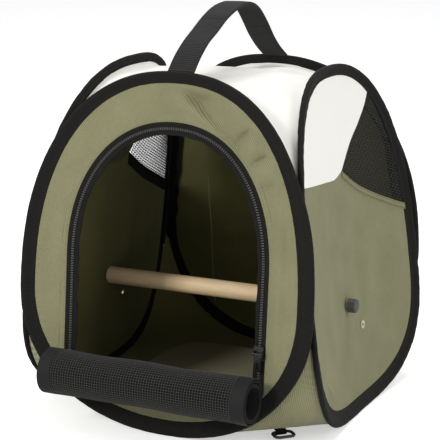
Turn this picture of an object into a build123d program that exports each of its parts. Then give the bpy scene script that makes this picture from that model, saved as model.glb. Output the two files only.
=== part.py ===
from build123d import *
from dataclasses import dataclass
from math import cos, hypot, pi, sin
import os

# Bird travel carrier, millimetres. The front faces -Y, the doorway is in it, +Z is up and the
# origin is on the ground under the middle. Four sprung hoops carry cloth walls that bow inward.

# --- cloth, tape and clearances
CLOTH = 1.0
SEAM_GAP = 0.3
TAPE = 0.8
BAND_DEPTH = 5.0
BAND_SIDE = 13.0
BAND_TOP = 10.0
BAND_FOOT = 14.0
WIRE_INSET = 2.5
WIRE_WIDE = 3.0
WIRE_DEEP = 2.4
WIRE_PLAY = 0.15
FOOT_FLAT = 0.5
OUTLINE_ARCS = 16
ARCH_ARCS = 8

# --- doorway and zip
DOOR_HALF = 96.0
DOOR_LEVEL = 150.0
DOOR_TOP = 268.0
DOOR_ROUND = 2.15
SILL = 52.0
ZIP_TAPE_WIDE = 11.0
TOOTH_INSET = 5.5
TOOTH_PITCH = 5.0
TOOTH_LONG = 2.6
TOOTH_WIDE = 3.4
TOOTH_HIGH = 1.3
TOOTH_SEAT = 0.02
STOP_SIZE = (5.0, 4.0, 1.8)
SLIDER_LEVEL = 86.0
SLIDER_SIZE = (9.0, 12.0)
SLIDER_WALL = 1.2
PULL_LONG = 16.0
PULL_WIDE = 6.0
PULL_THICK = 1.4
PULL_PIN = 0.8
PIN_PLAY = 0.08

# --- door rolled down on the sill
ROLL_RADIUS = 20.5
ROLL_HALF = 97.0
ROLL_END_BAND = 12.0
ROLL_LEVEL = 52.0
ROLL_SHEET = 1.2
ROLL_PITCH = 2.0
ROLL_TURNS = 3.25
ROLL_GAP = 0.6
ROOT_LEVEL = 40.0
ROOT_HALF = 76.0

# --- perch and its screw knobs
PERCH_Y = -12.3
PERCH_Z = 99.3
PERCH_RADIUS = 8.0
SCREW_RADIUS = 2.5
SCREW_PLAY = 0.06
SCREW_LONG = 20.0
KNOB_RADIUS = 6.5
KNOB_LONG = 8.0
KNOB_LOBES = 8
WASHER_RADIUS = 6.0
WASHER_THICK = 1.0
SEAT_PLAY = 0.1

# --- eyelets
EYELET_Y = 19.4
EYELET_Z = 73.2
EYELET_BORE = 1.6
EYELET_NECK = 2.4
EYELET_RIM = 3.8
EYELET_RIM_THICK = 0.6
EYELET_SEAT = 0.05

# --- handle
HANDLE_X = 2.0
HANDLE_WIDE = 25.0
WEBBING = 2.4
HANDLE_SPLIT = 26.0
HANDLE_ENDS = [(-98.5, 309.3), (99.3, 302.0)]
HANDLE_BENDS = [(-87.0, 320.0), (-73.0, 330.0), (-52.0, 339.5), (-29.0, 349.5), (-6.0, 356.5),
                (16.0, 357.8), (36.0, 351.0), (52.0, 338.5), (67.0, 324.0), (83.0, 311.5)]

# --- floor board, corner tapes, tab and ring
BOARD_HALF = 92.0
BOARD_THICK = 3.0
BOARD_LIFT = 3.8
BOARD_CORNER = 34.0
CORNER_TAPE = 11.0
CORNER_LOW = 92.0
CORNER_HIGH = 226.0
TAB_SPOT = (92.0, -90.0)
TAB_WIDE = 10.0
TAB_LONG = 14.0
TAB_CLOTH = 1.1
RING_SIZE = (20.0, 15.0)
RING_BEND = 4.0
RING_RADIUS = 1.3
RING_PLAY = 0.08
SEAM_X = -79.0
SEAM_WIDE = 2.5
SEAM_LEVELS = (38.0, 175.0)

# --- top and bottom cloth
TOP_CORNER = 236.0
FOOT_CORNER = 84.0
BOTTOM_REST = 3.0


@dataclass(frozen=True)
class Wall:
    """A leaning wall, bowed inward between its corners, inside one egg-shaped hoop."""
    reach: float
    lean: float
    lean_level: float
    bow: float
    half: float
    top: float
    foot: float
    level: float
    round_top: float
    round_foot: float

    def depth(self, across, up):
        """Distance of the wall's middle surface from the centre plane."""
        return self.reach - self.lean * (up - self.lean_level) - self.bow * (1 - (across / self.half) ** 2)

    def half_at(self, up, inset=0.0):
        """Half width of the hoop's outline at one height."""
        rising = up >= self.level
        span = (self.top if rising else self.foot) - self.level
        power = self.round_top if rising else self.round_foot
        share = min(abs((up - self.level) / span), 1.0)
        return (self.half - inset) * (1 - share ** power) ** (1 / power)

    def height_at(self, across, upper):
        """Height of the outline above or below one place across it."""
        power = self.round_top if upper else self.round_foot
        share = min(abs(across) / self.half, 1.0)
        span = (self.top if upper else self.foot) - self.level
        return self.level + span * (1 - share ** power) ** (1 / power)

    def outline(self, side=0.0, top=0.0, foot=0.0):
        """Flat face of the hoop's outline, moved in by the given amounts."""
        points = []
        for k in range(2 * OUTLINE_ARCS):
            c, s = cos(pi * k / OUTLINE_ARCS), sin(pi * k / OUTLINE_ARCS)
            power = self.round_top if s >= 0 else self.round_foot
            span = self.top - top - self.level if s >= 0 else self.level - self.foot - foot
            points.append(((self.half - side) * signed(c, 2 / power), 0,
                           self.level + span * signed(s, 2 / power)))
        return Face(Wire(arcs_through(points + points[:1])))

    def outward(self, across, up):
        """Direction away from the wall's outer face at one place, for the front wall."""
        return Vector(-2 * self.bow * across / self.half ** 2, -1, self.lean).normalized()


def signed(value, power):
    """Power of a number's size, with the number's sign."""
    if abs(value) < 1e-9:
        return 0.0
    return (1 if value > 0 else -1) * abs(value) ** power


def arcs_through(points):
    """Chain of arcs, each through three points in a row."""
    return [ThreePointArc(*points[k:k + 3]) for k in range(0, len(points) - 2, 2)]


FRONT = Wall(132.7, 0.099, 166.4, 16.1, 137.2, 310.3, -FOOT_FLAT, 122.2, 2.30, 2.14)
REAR = Wall(132.7, 0.099, 166.4, 16.1, 137.2, 302.0, -FOOT_FLAT, 122.2, 2.30, 2.14)
SIDE = Wall(132.7, 0.121, 143.9, 17.8, 132.0, 308.5, -FOOT_FLAT, 111.7, 2.56, 2.80)
TALL = 420.0
DEEP = 260.0


def prism(face):
    """A face in the XZ plane carried forward through the front wall."""
    return Solid.extrude(face, Vector(0, -DEEP, 0))


def slab(wall, inner, outer):
    """Layer between two distances outward of a wall's middle surface, over all its height."""
    base, stretch = -30.0, 1.3
    wide = wall.half * stretch
    flat = wall.reach - wall.lean * (base - wall.lean_level)

    def edge(out):
        end = flat - wall.bow * (1 - stretch ** 2) + out
        pull = flat - wall.bow * (1 + stretch ** 2) + out
        return Bezier((-wide, -end, base), (0, -pull, base), (wide, -end, base))
    near, far = edge(inner), edge(outer)
    rim = [near, Line(near @ 1, far @ 1), far, Line(far @ 0, near @ 0)]
    return Solid.extrude(Face(Wire(rim)), Vector(0, wall.lean * TALL, TALL))


def layer(wall, face, inner, outer):
    """A flat face laid on a wall as a layer between two distances from its middle surface."""
    return prism(face) & slab(wall, inner, outer)


def to_right(shape):
    """Turn a piece made on the front wall to the right-hand wall."""
    return shape.rotate(Axis.Z, 90)


def to_left(shape):
    """Mirror a right-hand piece to the left."""
    return mirror(shape, about=Plane.YZ)


def to_rear(shape):
    """Mirror a piece made on the front wall to the rear."""
    return mirror(shape, about=Plane.XZ)


def grounded(shape):
    """Cut a hoop flat where it stands."""
    return shape - Pos(0, 0, -50) * Box(800, 800, 100)


def between(shape):
    """Keep a side piece clear of the front and rear hoops that it runs behind."""
    keep = slab(FRONT, -BAND_DEPTH / 2 - SEAM_GAP, 60)
    keep_rear = to_rear(slab(REAR, -BAND_DEPTH / 2 - SEAM_GAP, 60))
    return shape - keep - keep_rear


def ring_face(wall, near, far):
    """Ring between two insets of a hoop's outline."""
    return wall.outline(near, near, near) - wall.outline(far, far, far)


def hoop_wire(wall):
    near, far = WIRE_INSET, WIRE_INSET + WIRE_WIDE
    return layer(wall, ring_face(wall, near, far), -WIRE_DEEP / 2, WIRE_DEEP / 2)


def hoop_binding(wall):
    band = wall.outline() - wall.outline(BAND_SIDE, BAND_TOP, BAND_FOOT)
    near, far = WIRE_INSET - WIRE_PLAY, WIRE_INSET + WIRE_WIDE + WIRE_PLAY
    half = WIRE_DEEP / 2 + WIRE_PLAY
    channel = layer(wall, ring_face(wall, near, far), -half, half)
    return grounded(layer(wall, band, -BAND_DEPTH / 2, BAND_DEPTH / 2) - channel)


def inside(wall):
    """Face of the cloth inside a hoop's binding."""
    return wall.outline(BAND_SIDE, BAND_TOP, BAND_FOOT)


# --- doorway

def arch_edges(inset):
    """Left leg, arch and right leg of the doorway at one inset."""
    half, rise = DOOR_HALF - inset, DOOR_TOP - inset - DOOR_LEVEL
    points = []
    for k in range(2 * ARCH_ARCS + 1):
        turn = pi * (1 - k / (2 * ARCH_ARCS))
        points.append((half * signed(cos(turn), 2 / DOOR_ROUND), 0,
                       DOOR_LEVEL + rise * signed(sin(turn), 2 / DOOR_ROUND)))
    return [Line((-half, 0, SILL), points[0])] + arcs_through(points) + [Line(points[-1], (half, 0, SILL))]


def arch_face(inset):
    """Doorway face at one inset, closed along the sill."""
    edges = arch_edges(inset)
    half = DOOR_HALF - inset
    return Face(Wire(edges + [Line((half, 0, SILL), (-half, 0, SILL))]))


def zip_teeth():
    """Row of teeth along the arch, each seated flat on the tape."""
    chain = Wire(arch_edges(TOOTH_INSET))
    start, seat = STOP_SIZE[1] + TOOTH_PITCH, TAPE / 2 + TOOTH_SEAT
    count = int((chain.length - 2 * start) / TOOTH_PITCH)
    teeth = []
    for k in range(count + 1):
        share = (start + k * TOOTH_PITCH) / chain.length
        place, way = chain.position_at(share), chain.tangent_at(share)
        out = FRONT.outward(place.X, place.Z)
        run = Vector(way.X, (out.X * way.X + out.Z * way.Z) / -out.Y, way.Z)
        ground = Vector(place.X, -FRONT.depth(place.X, place.Z), place.Z) + out * (seat + TOOTH_HIGH / 2)
        teeth.append(Plane(ground, x_dir=run, z_dir=out) * Box(TOOTH_LONG, TOOTH_WIDE, TOOTH_HIGH))
    return teeth


def zip_stops():
    wide, tall, high = STOP_SIZE
    stops = []
    for sign in (-1, 1):
        x = sign * (DOOR_HALF - TOOTH_INSET)
        face = Face(Wire(Polyline([(x - wide / 2, 0, SILL + 1), (x + wide / 2, 0, SILL + 1),
                                   (x + wide / 2, 0, SILL + 1 + tall), (x - wide / 2, 0, SILL + 1 + tall),
                                   (x - wide / 2, 0, SILL + 1)]).edges()))
        stops.append(layer(FRONT, face, TAPE / 2, TAPE / 2 + high))
    return stops


def zip_slider():
    """Shell that straddles the chain, with two ears for the puller's pin."""
    wide, tall = SLIDER_SIZE
    x = DOOR_HALF - TOOTH_INSET
    low = TAPE / 2 + SEAM_GAP
    roof = TAPE / 2 + TOOTH_HIGH + SEAM_GAP
    body = layer(FRONT, upright(x, SLIDER_LEVEL, wide, tall), low, roof + SLIDER_WALL)
    body -= layer(FRONT, upright(x, SLIDER_LEVEL, TOOTH_WIDE + 2 * SEAM_GAP, tall + 2), low - 1, roof)
    ear_reach = roof + SLIDER_WALL + 2 * PULL_PIN + 1.6
    for sign in (-1, 1):
        ear_x = x + sign * (PULL_WIDE / 2 + SEAM_GAP + 0.6)
        body += layer(FRONT, upright(ear_x, SLIDER_LEVEL, 1.2, 4.4), roof + SLIDER_WALL / 2, ear_reach)
    pivot = puller_pivot()
    return body - Pos(*pivot) * Rot(0, 90, 0) * Cylinder(PULL_PIN + PIN_PLAY, wide + 6)


def upright(x, z, wide, tall):
    """Upright rectangle in the XZ plane."""
    a, b = wide / 2, tall / 2
    return Face(Wire(Polyline([(x - a, 0, z - b), (x + a, 0, z - b), (x + a, 0, z + b),
                               (x - a, 0, z + b), (x - a, 0, z - b)]).edges()))


def puller_pivot():
    """Middle of the puller's pin, in front of the slider's roof."""
    x = DOOR_HALF - TOOTH_INSET
    out = TAPE / 2 + TOOTH_HIGH + SEAM_GAP + SLIDER_WALL + PULL_PIN + 1.0
    return (x, -FRONT.depth(x, SLIDER_LEVEL) - out, SLIDER_LEVEL)


def zip_puller():
    """Tag with a slot, hanging from its own pin."""
    x, y, z = puller_pivot()
    pin = Pos(x, y, z) * Rot(0, 90, 0) * Cylinder(PULL_PIN, PULL_WIDE + 2 * SEAM_GAP + 2.4)
    tag = Pos(x, y, z - PULL_LONG / 2 + PULL_PIN) * Box(PULL_WIDE, PULL_THICK, PULL_LONG)
    tag = fillet(tag.edges().filter_by(Axis.Y).sort_by(Axis.Z)[:2], PULL_WIDE / 2.2)
    slot = Pos(x, y, z - PULL_LONG * 0.62) * Box(PULL_WIDE * 0.4, 4 * PULL_THICK, PULL_LONG * 0.3)
    return pin + (tag - slot)


# --- rolled door

def roll_centre():
    """Middle of the roll, in front of the hoop at the roll's ends."""
    face = FRONT.depth(ROLL_HALF, ROLL_LEVEL) + BAND_DEPTH / 2
    return (-face - ROLL_GAP - ROLL_RADIUS, ROLL_LEVEL)


def root_seam():
    """Line where the door is sewn to the panel, beside the roll's back."""
    return (roll_centre()[0] + ROLL_RADIUS + ROLL_SHEET / 2, ROOT_LEVEL)


def spiral_face(x):
    """Section of the wound sheet, from its outer end at the back, over the top and inward."""
    cy, cz = roll_centre()
    steps = int(16 * ROLL_TURNS)

    def turn(offset):
        points = []
        for k in range(steps + 1):
            angle = 2 * pi * ROLL_TURNS * k / steps
            radius = ROLL_RADIUS - offset - ROLL_PITCH * angle / (2 * pi)
            points.append((x, cy + radius * cos(angle), cz + radius * sin(angle)))
        return Spline(points)
    outer, inner = turn(0), turn(ROLL_SHEET)
    return Face(Wire([outer, Line(outer @ 1, inner @ 1), inner, Line(inner @ 0, outer @ 0)]))


def least_gap():
    """Smallest clear distance between two neighbouring turns, measured on points."""
    steps = 90

    def spot(turns, offset):
        radius = ROLL_RADIUS - offset - ROLL_PITCH * turns
        return Vector(0, radius * cos(2 * pi * turns), radius * sin(2 * pi * turns))
    inner = [spot(k / steps, ROLL_SHEET) for k in range(int((ROLL_TURNS - 1) * steps))]
    outer = [spot(1 + k / steps, 0) for k in range(int((ROLL_TURNS - 1) * steps))]
    return min((a - b).length for k, a in enumerate(inner) for b in outer[max(k - 3, 0):k + 4])


def door_roll():
    """The mesh door wound up, with its root strip reaching back to the panel."""
    half = ROLL_HALF - ROLL_END_BAND
    roll = Solid.extrude(spiral_face(-half), Vector(2 * half, 0, 0))
    cy, cz = roll_centre()
    seam_y, seam_z = root_seam()
    edge = cy + ROLL_RADIUS
    tail = Polyline([(0, edge, cz), (0, edge - ROLL_SHEET, cz), (0, edge - ROLL_SHEET, seam_z),
                     (0, -FRONT.reach + 2 * FRONT.bow, seam_z), (0, -FRONT.reach + 2 * FRONT.bow,
                     seam_z + ROLL_SHEET), (0, edge, seam_z + ROLL_SHEET), (0, edge, cz)])
    strip = Pos(-ROOT_HALF, 0, 0) * Solid.extrude(Face(Wire(tail.edges())), Vector(2 * ROOT_HALF, 0, 0))
    strip -= slab(FRONT, -60, CLOTH / 2 + SEAM_GAP)
    return roll + strip


def roll_end_bands():
    bands = []
    for start in (-ROLL_HALF, ROLL_HALF - ROLL_END_BAND):
        bands.append(Solid.extrude(spiral_face(start), Vector(ROLL_END_BAND, 0, 0)))
    return bands


# --- side walls

CREAM_SEAM = [(5.9, 215.0), (31.9, 238.4), (51.9, 253.4), (69.5, 272.0), (84.0, 300.0)]
CREAM_FOOT = [(5.9, 215.0), (-9.8, 211.0), (-35.7, 212.5), (-76.0, 217.0), (-116.0, 223.4),
              (-150.0, 230.0)]
WINDOW_FOOT = [(5.9, 215.0), (33.7, 199.3), (71.4, 183.4), (105.0, 171.0), (150.0, 156.0)]
HEM_WIDE = 6.0
WINDOW_TAPE_WIDE = 12.0
NET_PITCH = 10.0
NET_GAP = 7.2


def side_curve(points, lower=0.0):
    """Spline across the side wall, let down by the given amount."""
    return Spline([(y, 0, z - lower) for y, z in points])


def cream_face():
    seam, foot = side_curve(CREAM_SEAM), side_curve(CREAM_FOOT)
    far, high = (CREAM_FOOT[-1][0], 0, 380), (CREAM_SEAM[-1][0], 0, 380)
    return Face(Wire([seam, Line(seam @ 1, high), Line(high, far), Line(far, foot @ 1), foot]))


def window_face():
    seam, foot = side_curve(CREAM_SEAM), side_curve(WINDOW_FOOT)
    far, high = (WINDOW_FOOT[-1][0], 0, 380), (CREAM_SEAM[-1][0], 0, 380)
    return Face(Wire([seam, Line(seam @ 1, high), Line(high, far), Line(far, foot @ 1), foot]))


def band_below(points, width):
    """Band hanging under a side curve."""
    upper, lower = side_curve(points), side_curve(points, width)
    return Face(Wire([upper, Line(upper @ 1, lower @ 1), lower, Line(lower @ 0, upper @ 0)]))


def net_face():
    """Window cloth with its square gaps, none cut by the window's edge."""
    whole = inside(SIDE) & window_face()
    gaps = []
    y = 12.0
    while y < SIDE.half:
        z = 165.0
        while z < SIDE.top:
            spots = [(y + a, z + b) for a in (-1, 1) for b in (-1, 1)]
            reach = NET_GAP / 2 + 2.0
            corners = [(y + a * reach, z + b * reach) for a, b in ((-1, -1), (-1, 1), (1, -1), (1, 1))]
            if all(in_window(v, w) for v, w in corners + spots):
                gaps.append(upright(y, z, NET_GAP, NET_GAP))
            z += NET_PITCH
        y += NET_PITCH
    return whole - gaps


def in_window(y, z):
    """Whether a place lies inside the window, clear of its hems and the hoop."""
    if z <= along(WINDOW_FOOT, y) or z >= along(CREAM_SEAM, y) and y < CREAM_SEAM[-2][0]:
        return False
    across = min(SIDE.half_at(z), FRONT.depth(SIDE.reach, z)) - BAND_SIDE
    return y < across and z < SIDE.height_at(y, True) - BAND_SIDE


def along(points, y):
    """Height of a seam at one place across the wall, by straight runs."""
    for (y0, z0), (y1, z1) in zip(points, points[1:]):
        if min(y0, y1) <= y <= max(y0, y1):
            return z0 + (z1 - z0) * (y - y0) / (y1 - y0)
    return points[0][1]


def side_sheet(face, inner=-CLOTH / 2, outer=CLOTH / 2):
    """A face of the side wall's cloth, on the right."""
    return between(to_right(layer(SIDE, inside(SIDE) & face, inner, outer)))


def side_depth(y, z):
    return SIDE.depth(y, z)


def lower_panel():
    whole = prism(inside(SIDE)) & slab(SIDE, -CLOTH / 2, CLOTH / 2)
    panel = whole - prism(cream_face()) - prism(window_face())
    panel = between(to_right(panel))
    panel -= Pos(side_depth(PERCH_Y, PERCH_Z), PERCH_Y, PERCH_Z) * Rot(0, 90, 0) * Cylinder(
        SCREW_RADIUS + SEAM_GAP, 20)
    return panel - eyelet_plane() * Cylinder(EYELET_NECK + SCREW_PLAY, 20)


def eyelet_plane():
    """Middle of the eyelet, square to the cloth it is pressed into."""
    slope = 2 * SIDE.bow * EYELET_Y / SIDE.half ** 2
    return Plane(Vector(side_depth(EYELET_Y, EYELET_Z), EYELET_Y, EYELET_Z), x_dir=(0, 1, 0) if slope == 0
                 else Vector(slope, 1, 0), z_dir=Vector(1, -slope, SIDE.lean))


def eyelet():
    """Rolled ring through the side wall."""
    half = CLOTH / 2 + EYELET_SEAT
    ring = Cylinder(EYELET_NECK, 2 * half)
    for sign in (-1, 1):
        ring += Pos(0, 0, sign * (half + EYELET_RIM_THICK / 2)) * Cylinder(EYELET_RIM, EYELET_RIM_THICK)
    ring -= Cylinder(EYELET_BORE, 10)
    return eyelet_plane() * ring


# --- perch

def lean_room(radius):
    """How far the leaning wall's face moves within a radius round the perch."""
    return radius * hypot(SIDE.lean, 2 * SIDE.bow * PERCH_Y / SIDE.half ** 2)


def washer_start():
    """Inner face of the washer, whose lower edge rests on the leaning cloth."""
    return side_depth(PERCH_Y, PERCH_Z) + CLOTH / 2 + lean_room(WASHER_RADIUS) + SEAT_PLAY


def perch():
    half = side_depth(PERCH_Y, PERCH_Z) - CLOTH / 2 - lean_room(PERCH_RADIUS) - SEAT_PLAY
    rod = Rot(0, 90, 0) * Cylinder(PERCH_RADIUS, 2 * half)
    rod = chamfer(rod.edges().filter_by(GeomType.CIRCLE), 0.8)
    bore = Rot(0, 90, 0) * Cylinder(SCREW_RADIUS + SCREW_PLAY, 2 * (SCREW_LONG + 2))
    for sign in (-1, 1):
        rod -= Pos(sign * half, 0, 0) * bore
    return Pos(0, PERCH_Y, PERCH_Z) * rod


def washer():
    disc = Cylinder(WASHER_RADIUS, WASHER_THICK) - Cylinder(SCREW_RADIUS + SCREW_PLAY, 4)
    return Pos(washer_start() + WASHER_THICK / 2, PERCH_Y, PERCH_Z) * Rot(0, 90, 0) * disc


def knob():
    """Faceted grip with its screw, which reaches into the perch's end."""
    start = washer_start() + WASHER_THICK
    grip = extrude(RegularPolygon(KNOB_RADIUS, KNOB_LOBES), KNOB_LONG)
    grip = chamfer(grip.faces().sort_by(Axis.Z)[-1].edges(), 1.2)
    inner = side_depth(PERCH_Y, PERCH_Z) - SCREW_LONG
    shank = Pos(0, 0, (inner - start) / 2) * Cylinder(SCREW_RADIUS, start - inner)
    return Pos(start, PERCH_Y, PERCH_Z) * Rot(0, 90, 0) * (grip + shank)


# --- top and bottom cloth

def corner_point(level):
    """Where the inner faces of a front and a side hoop meet at one height."""
    x, y = SIDE.reach, FRONT.reach
    back = BAND_DEPTH / 2 + SEAM_GAP
    for _ in range(12):
        x = SIDE.depth(min(y, SIDE.half), level) - back
        y = FRONT.depth(min(x, FRONT.half), level) - back
    return x, y


def cloth_grid(level, upper, drop):
    """Points of a cloth between four hoop arcs, each arc weighing by its nearness squared."""
    count = 11
    xc, yc = corner_point(level)
    back = BAND_DEPTH / 2 - CLOTH

    def arc(wall, share, end, front_back):
        across = share * end
        stretch = wall.half_at(level) / end
        inset = BAND_TOP * 0.25
        height = wall.height_at(across * stretch, upper) - (inset if upper else -inset) * (1 - share ** 4)
        out = wall.depth(across, height) - back
        return (across, front_back * out, height) if wall is not SIDE else (front_back * out, across, height)
    rows = []
    for i in range(count):
        row = []
        for j in range(count):
            s, t = max(min(i / (count - 1), 0.9999), 0.0001), max(min(j / (count - 1), 0.9999), 0.0001)
            u, v = 2 * s - 1, 2 * t - 1
            arcs = [(arc(FRONT, u, xc, -1), 1 / t ** 2), (arc(REAR, u, xc, 1), 1 / (1 - t) ** 2),
                    (arc(SIDE, v, yc, -1), 1 / s ** 2), (arc(SIDE, v, yc, 1), 1 / (1 - s) ** 2)]
            whole = sum(weight for _, weight in arcs)
            x, y, z = (sum(point[axis] * weight for point, weight in arcs) / whole for axis in range(3))
            blend = (16 * s * (1 - s) * t * (1 - t)) ** 0.4
            row.append((x, y, z + drop(z) * blend))
        rows.append(row)
    return rows


def cloth_solid(rows):
    """Closed sheet of cloth thickness on a grid of points, trimmed inside the four hoops."""
    sheet = Solid.thicken(Face.make_surface_from_array_of_points(rows), CLOTH)
    beyond = slab(SIDE, -BAND_DEPTH / 2 - SEAM_GAP, 60)
    return between(sheet - to_right(beyond) - to_left(to_right(beyond)))


def top_panel():
    return cloth_solid(cloth_grid(TOP_CORNER, True, lambda z: 0.0))


def bottom_panel():
    return cloth_solid(cloth_grid(FOOT_CORNER, False, lambda z: 0.75 * (BOTTOM_REST - z)))


def corner_tape():
    """Right-angled tape down the inside of the front right corner."""
    near = BAND_DEPTH / 2 + SEAM_GAP
    side = to_right(slab(SIDE, -near - TAPE, -near))
    front = slab(FRONT, -near - TAPE, -near)
    x, y = corner_point((CORNER_LOW + CORNER_HIGH) / 2)
    room = Pos(x, -y, (CORNER_LOW + CORNER_HIGH) / 2) * Box(70, 70, CORNER_HIGH - CORNER_LOW)
    in_side = to_right(slab(SIDE, -near - CORNER_TAPE, -near))
    in_front = slab(FRONT, -near - CORNER_TAPE, -near)
    return ((side & in_front) + (front & in_side)) & room


def floor_board():
    low = BOTTOM_REST + BOARD_LIFT
    board = Pos(0, 0, low + BOARD_THICK / 2) * Box(2 * BOARD_HALF, 2 * BOARD_HALF, BOARD_THICK)
    return fillet(board.edges().filter_by(Axis.Z), BOARD_CORNER)


# --- handle

def handle_route():
    """Places the strap runs through, from the front hoop to the rear one."""
    return HANDLE_ENDS[:1] + HANDLE_BENDS + HANDLE_ENDS[1:]


def handle_face(start, end):
    """Side section of the strap between two shares of its route."""
    route = Spline([(0, y, z) for y, z in handle_route()])
    steps = 14

    def edge(out):
        points = []
        for k in range(steps + 1):
            share = start + (end - start) * k / steps
            place, way = route.position_at(share), route.tangent_at(share)
            points.append(place + Vector(0, -way.Z, way.Y).normalized() * out)
        return Spline(points)
    upper, lower = edge(WEBBING / 2), edge(-WEBBING / 2)
    return Face(Wire([upper, Line(upper @ 1, lower @ 1), lower, Line(lower @ 0, upper @ 0)]))


def strap(start, end):
    left = HANDLE_X - HANDLE_WIDE / 2
    return Pos(left, 0, 0) * Solid.extrude(handle_face(start, end), Vector(HANDLE_WIDE, 0, 0))


def split_share():
    """Share of the strap's route taken by its twisting root."""
    return HANDLE_SPLIT / Spline([(0, y, z) for y, z in handle_route()]).length


# --- tab and ring under the front right corner

def ring_plane():
    """Middle of the ring's bar: X outward over the corner, Y along the bar."""
    x, y = TAB_SPOT
    level = RING_RADIUS + RING_PLAY + TAB_CLOTH + RING_PLAY
    return Plane((x, y, level), x_dir=(1, -1, 0), z_dir=(0, 0, 1))


def ring_tab():
    """Webbing looped round the ring's bar, its tail flat under the bottom cloth."""
    inner = RING_RADIUS + RING_PLAY
    loop = Rot(90, 0, 0) * Cylinder(inner + TAB_CLOTH, TAB_WIDE)
    tail = Pos(-TAB_LONG / 2, 0, inner + TAB_CLOTH / 2) * Box(TAB_LONG, TAB_WIDE, TAB_CLOTH)
    return ring_plane() * (loop + tail - Rot(90, 0, 0) * Cylinder(inner, 2 * TAB_WIDE))


def d_ring():
    """Round-wire loop whose straight bar turns in the tab."""
    wide, tall = RING_SIZE
    path = Pos(tall / 2 - RING_RADIUS, 0, 0) * Rectangle(tall - 2 * RING_RADIUS, wide - 2 * RING_RADIUS)
    path = fillet(path.vertices(), RING_BEND).wires()[0]
    start = path.edges().sort_by(Axis.X)[0]
    section = Plane(start @ 0.5, z_dir=start % 0.5) * Circle(RING_RADIUS)
    return ring_plane() * sweep(section, path)


def rear_seam():
    """Narrow seam tape down the inside of the rear panel."""
    low, high = SEAM_LEVELS
    strip = upright(SEAM_X, (low + high) / 2, SEAM_WIDE, high - low)
    return to_rear(layer(REAR, strip, -CLOTH / 2 - TAPE, -CLOTH / 2))


def write(name, *solids):
    """Write one sub-part as a STEP file."""
    found = []
    for shape in solids:
        found.extend(shape.solids())
    whole = Compound(children=found) if len(found) > 1 else found[0]
    export_step(whole, os.path.join("parts", name + ".step"))
    print(name, len(found), round(sum(s.volume for s in found)))


def main():
    os.makedirs("parts", exist_ok=True)
    write("front_hoop_wire", hoop_wire(FRONT))
    write("front_hoop_binding", hoop_binding(FRONT))
    write("rear_hoop_wire", to_rear(hoop_wire(REAR)))
    write("rear_hoop_binding", to_rear(hoop_binding(REAR)))
    wire, binding = between(to_right(hoop_wire(SIDE))), between(to_right(hoop_binding(SIDE)))
    lower, tape = lower_panel(), corner_tape()
    cream, net = side_sheet(cream_face()), side_sheet(net_face())
    face = CLOTH / 2
    hem = side_sheet(band_below(WINDOW_FOOT, HEM_WIDE), face, face + TAPE)
    window_tape = side_sheet(band_below(WINDOW_FOOT, WINDOW_TAPE_WIDE), -face - TAPE, -face)
    for side, place in (("right", lambda s: s), ("left", to_left)):
        write(side + "_hoop_wire", place(wire))
        write(side + "_hoop_binding", place(binding))
        write(side + "_lower_panel", place(lower))
        write(side + "_cream_patch", place(cream))
        write(side + "_mesh_window", place(net))
        write(side + "_hem_tape", place(hem))
        write(side + "_window_tape", place(window_tape))
        write(side + "_eyelet", place(eyelet()))
        write(side + "_washer", place(washer()))
        write(side + "_knob", place(knob()))
        write("front_" + side + "_corner_tape", place(tape))
        write("rear_" + side + "_corner_tape", to_rear(place(tape)))
    door = arch_face(0)
    write("front_panel", layer(FRONT, inside(FRONT) - door, -face, face))
    write("rear_panel", to_rear(layer(REAR, inside(REAR), -face, face)))
    write("zip_tape", layer(FRONT, door - arch_face(ZIP_TAPE_WIDE), -TAPE / 2, TAPE / 2))
    write("zip_teeth", *zip_teeth())
    write("zip_stops", *zip_stops())
    write("zip_slider", zip_slider())
    write("zip_puller", zip_puller())
    write("door_roll", door_roll())
    write("door_roll_end_bands", *roll_end_bands())
    write("perch", perch())
    write("top_panel", top_panel())
    write("bottom_panel", bottom_panel())
    write("floor_board", floor_board())
    share = split_share()
    write("handle", strap(share, 1 - share))
    write("handle_front_root", strap(0, share))
    write("handle_rear_root", strap(1 - share, 1))
    write("d_ring", d_ring())
    write("ring_tab", ring_tab())
    write("rear_seam_tape", rear_seam())
    print("least gap of the roll", least_gap())
    print("roll centre", roll_centre(), "root seam", root_seam(), "puller pivot", puller_pivot())
    print("corner top", corner_point(TOP_CORNER), "corner foot", corner_point(FOOT_CORNER))


main()
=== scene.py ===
import logging
import math
from dataclasses import dataclass, replace
from enum import Enum
from typing import Callable, Dict, Optional, Sequence, Tuple

import bpy
import numpy as np
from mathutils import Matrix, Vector


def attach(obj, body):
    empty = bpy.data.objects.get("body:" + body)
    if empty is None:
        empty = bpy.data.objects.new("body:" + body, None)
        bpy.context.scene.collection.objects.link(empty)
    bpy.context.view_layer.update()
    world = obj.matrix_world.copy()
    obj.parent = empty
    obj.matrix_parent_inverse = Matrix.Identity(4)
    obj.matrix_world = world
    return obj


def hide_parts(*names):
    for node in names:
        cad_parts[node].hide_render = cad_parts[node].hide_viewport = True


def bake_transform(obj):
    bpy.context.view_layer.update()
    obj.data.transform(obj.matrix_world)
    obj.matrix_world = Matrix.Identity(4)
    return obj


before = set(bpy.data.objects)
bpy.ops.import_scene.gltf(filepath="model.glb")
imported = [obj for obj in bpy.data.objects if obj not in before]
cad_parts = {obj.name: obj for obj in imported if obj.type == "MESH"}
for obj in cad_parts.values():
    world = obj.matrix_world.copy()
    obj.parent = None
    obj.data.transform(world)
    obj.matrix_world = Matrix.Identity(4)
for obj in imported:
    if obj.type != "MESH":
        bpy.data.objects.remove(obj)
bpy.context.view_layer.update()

LOG = logging.getLogger("bird_carrier")
MM = 0.001
Colour = Tuple[float, float, float]
Array = np.ndarray
Line = Tuple[Tuple[float, float], ...]
Place = Callable[[Array, Array, Array], Array]


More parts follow.
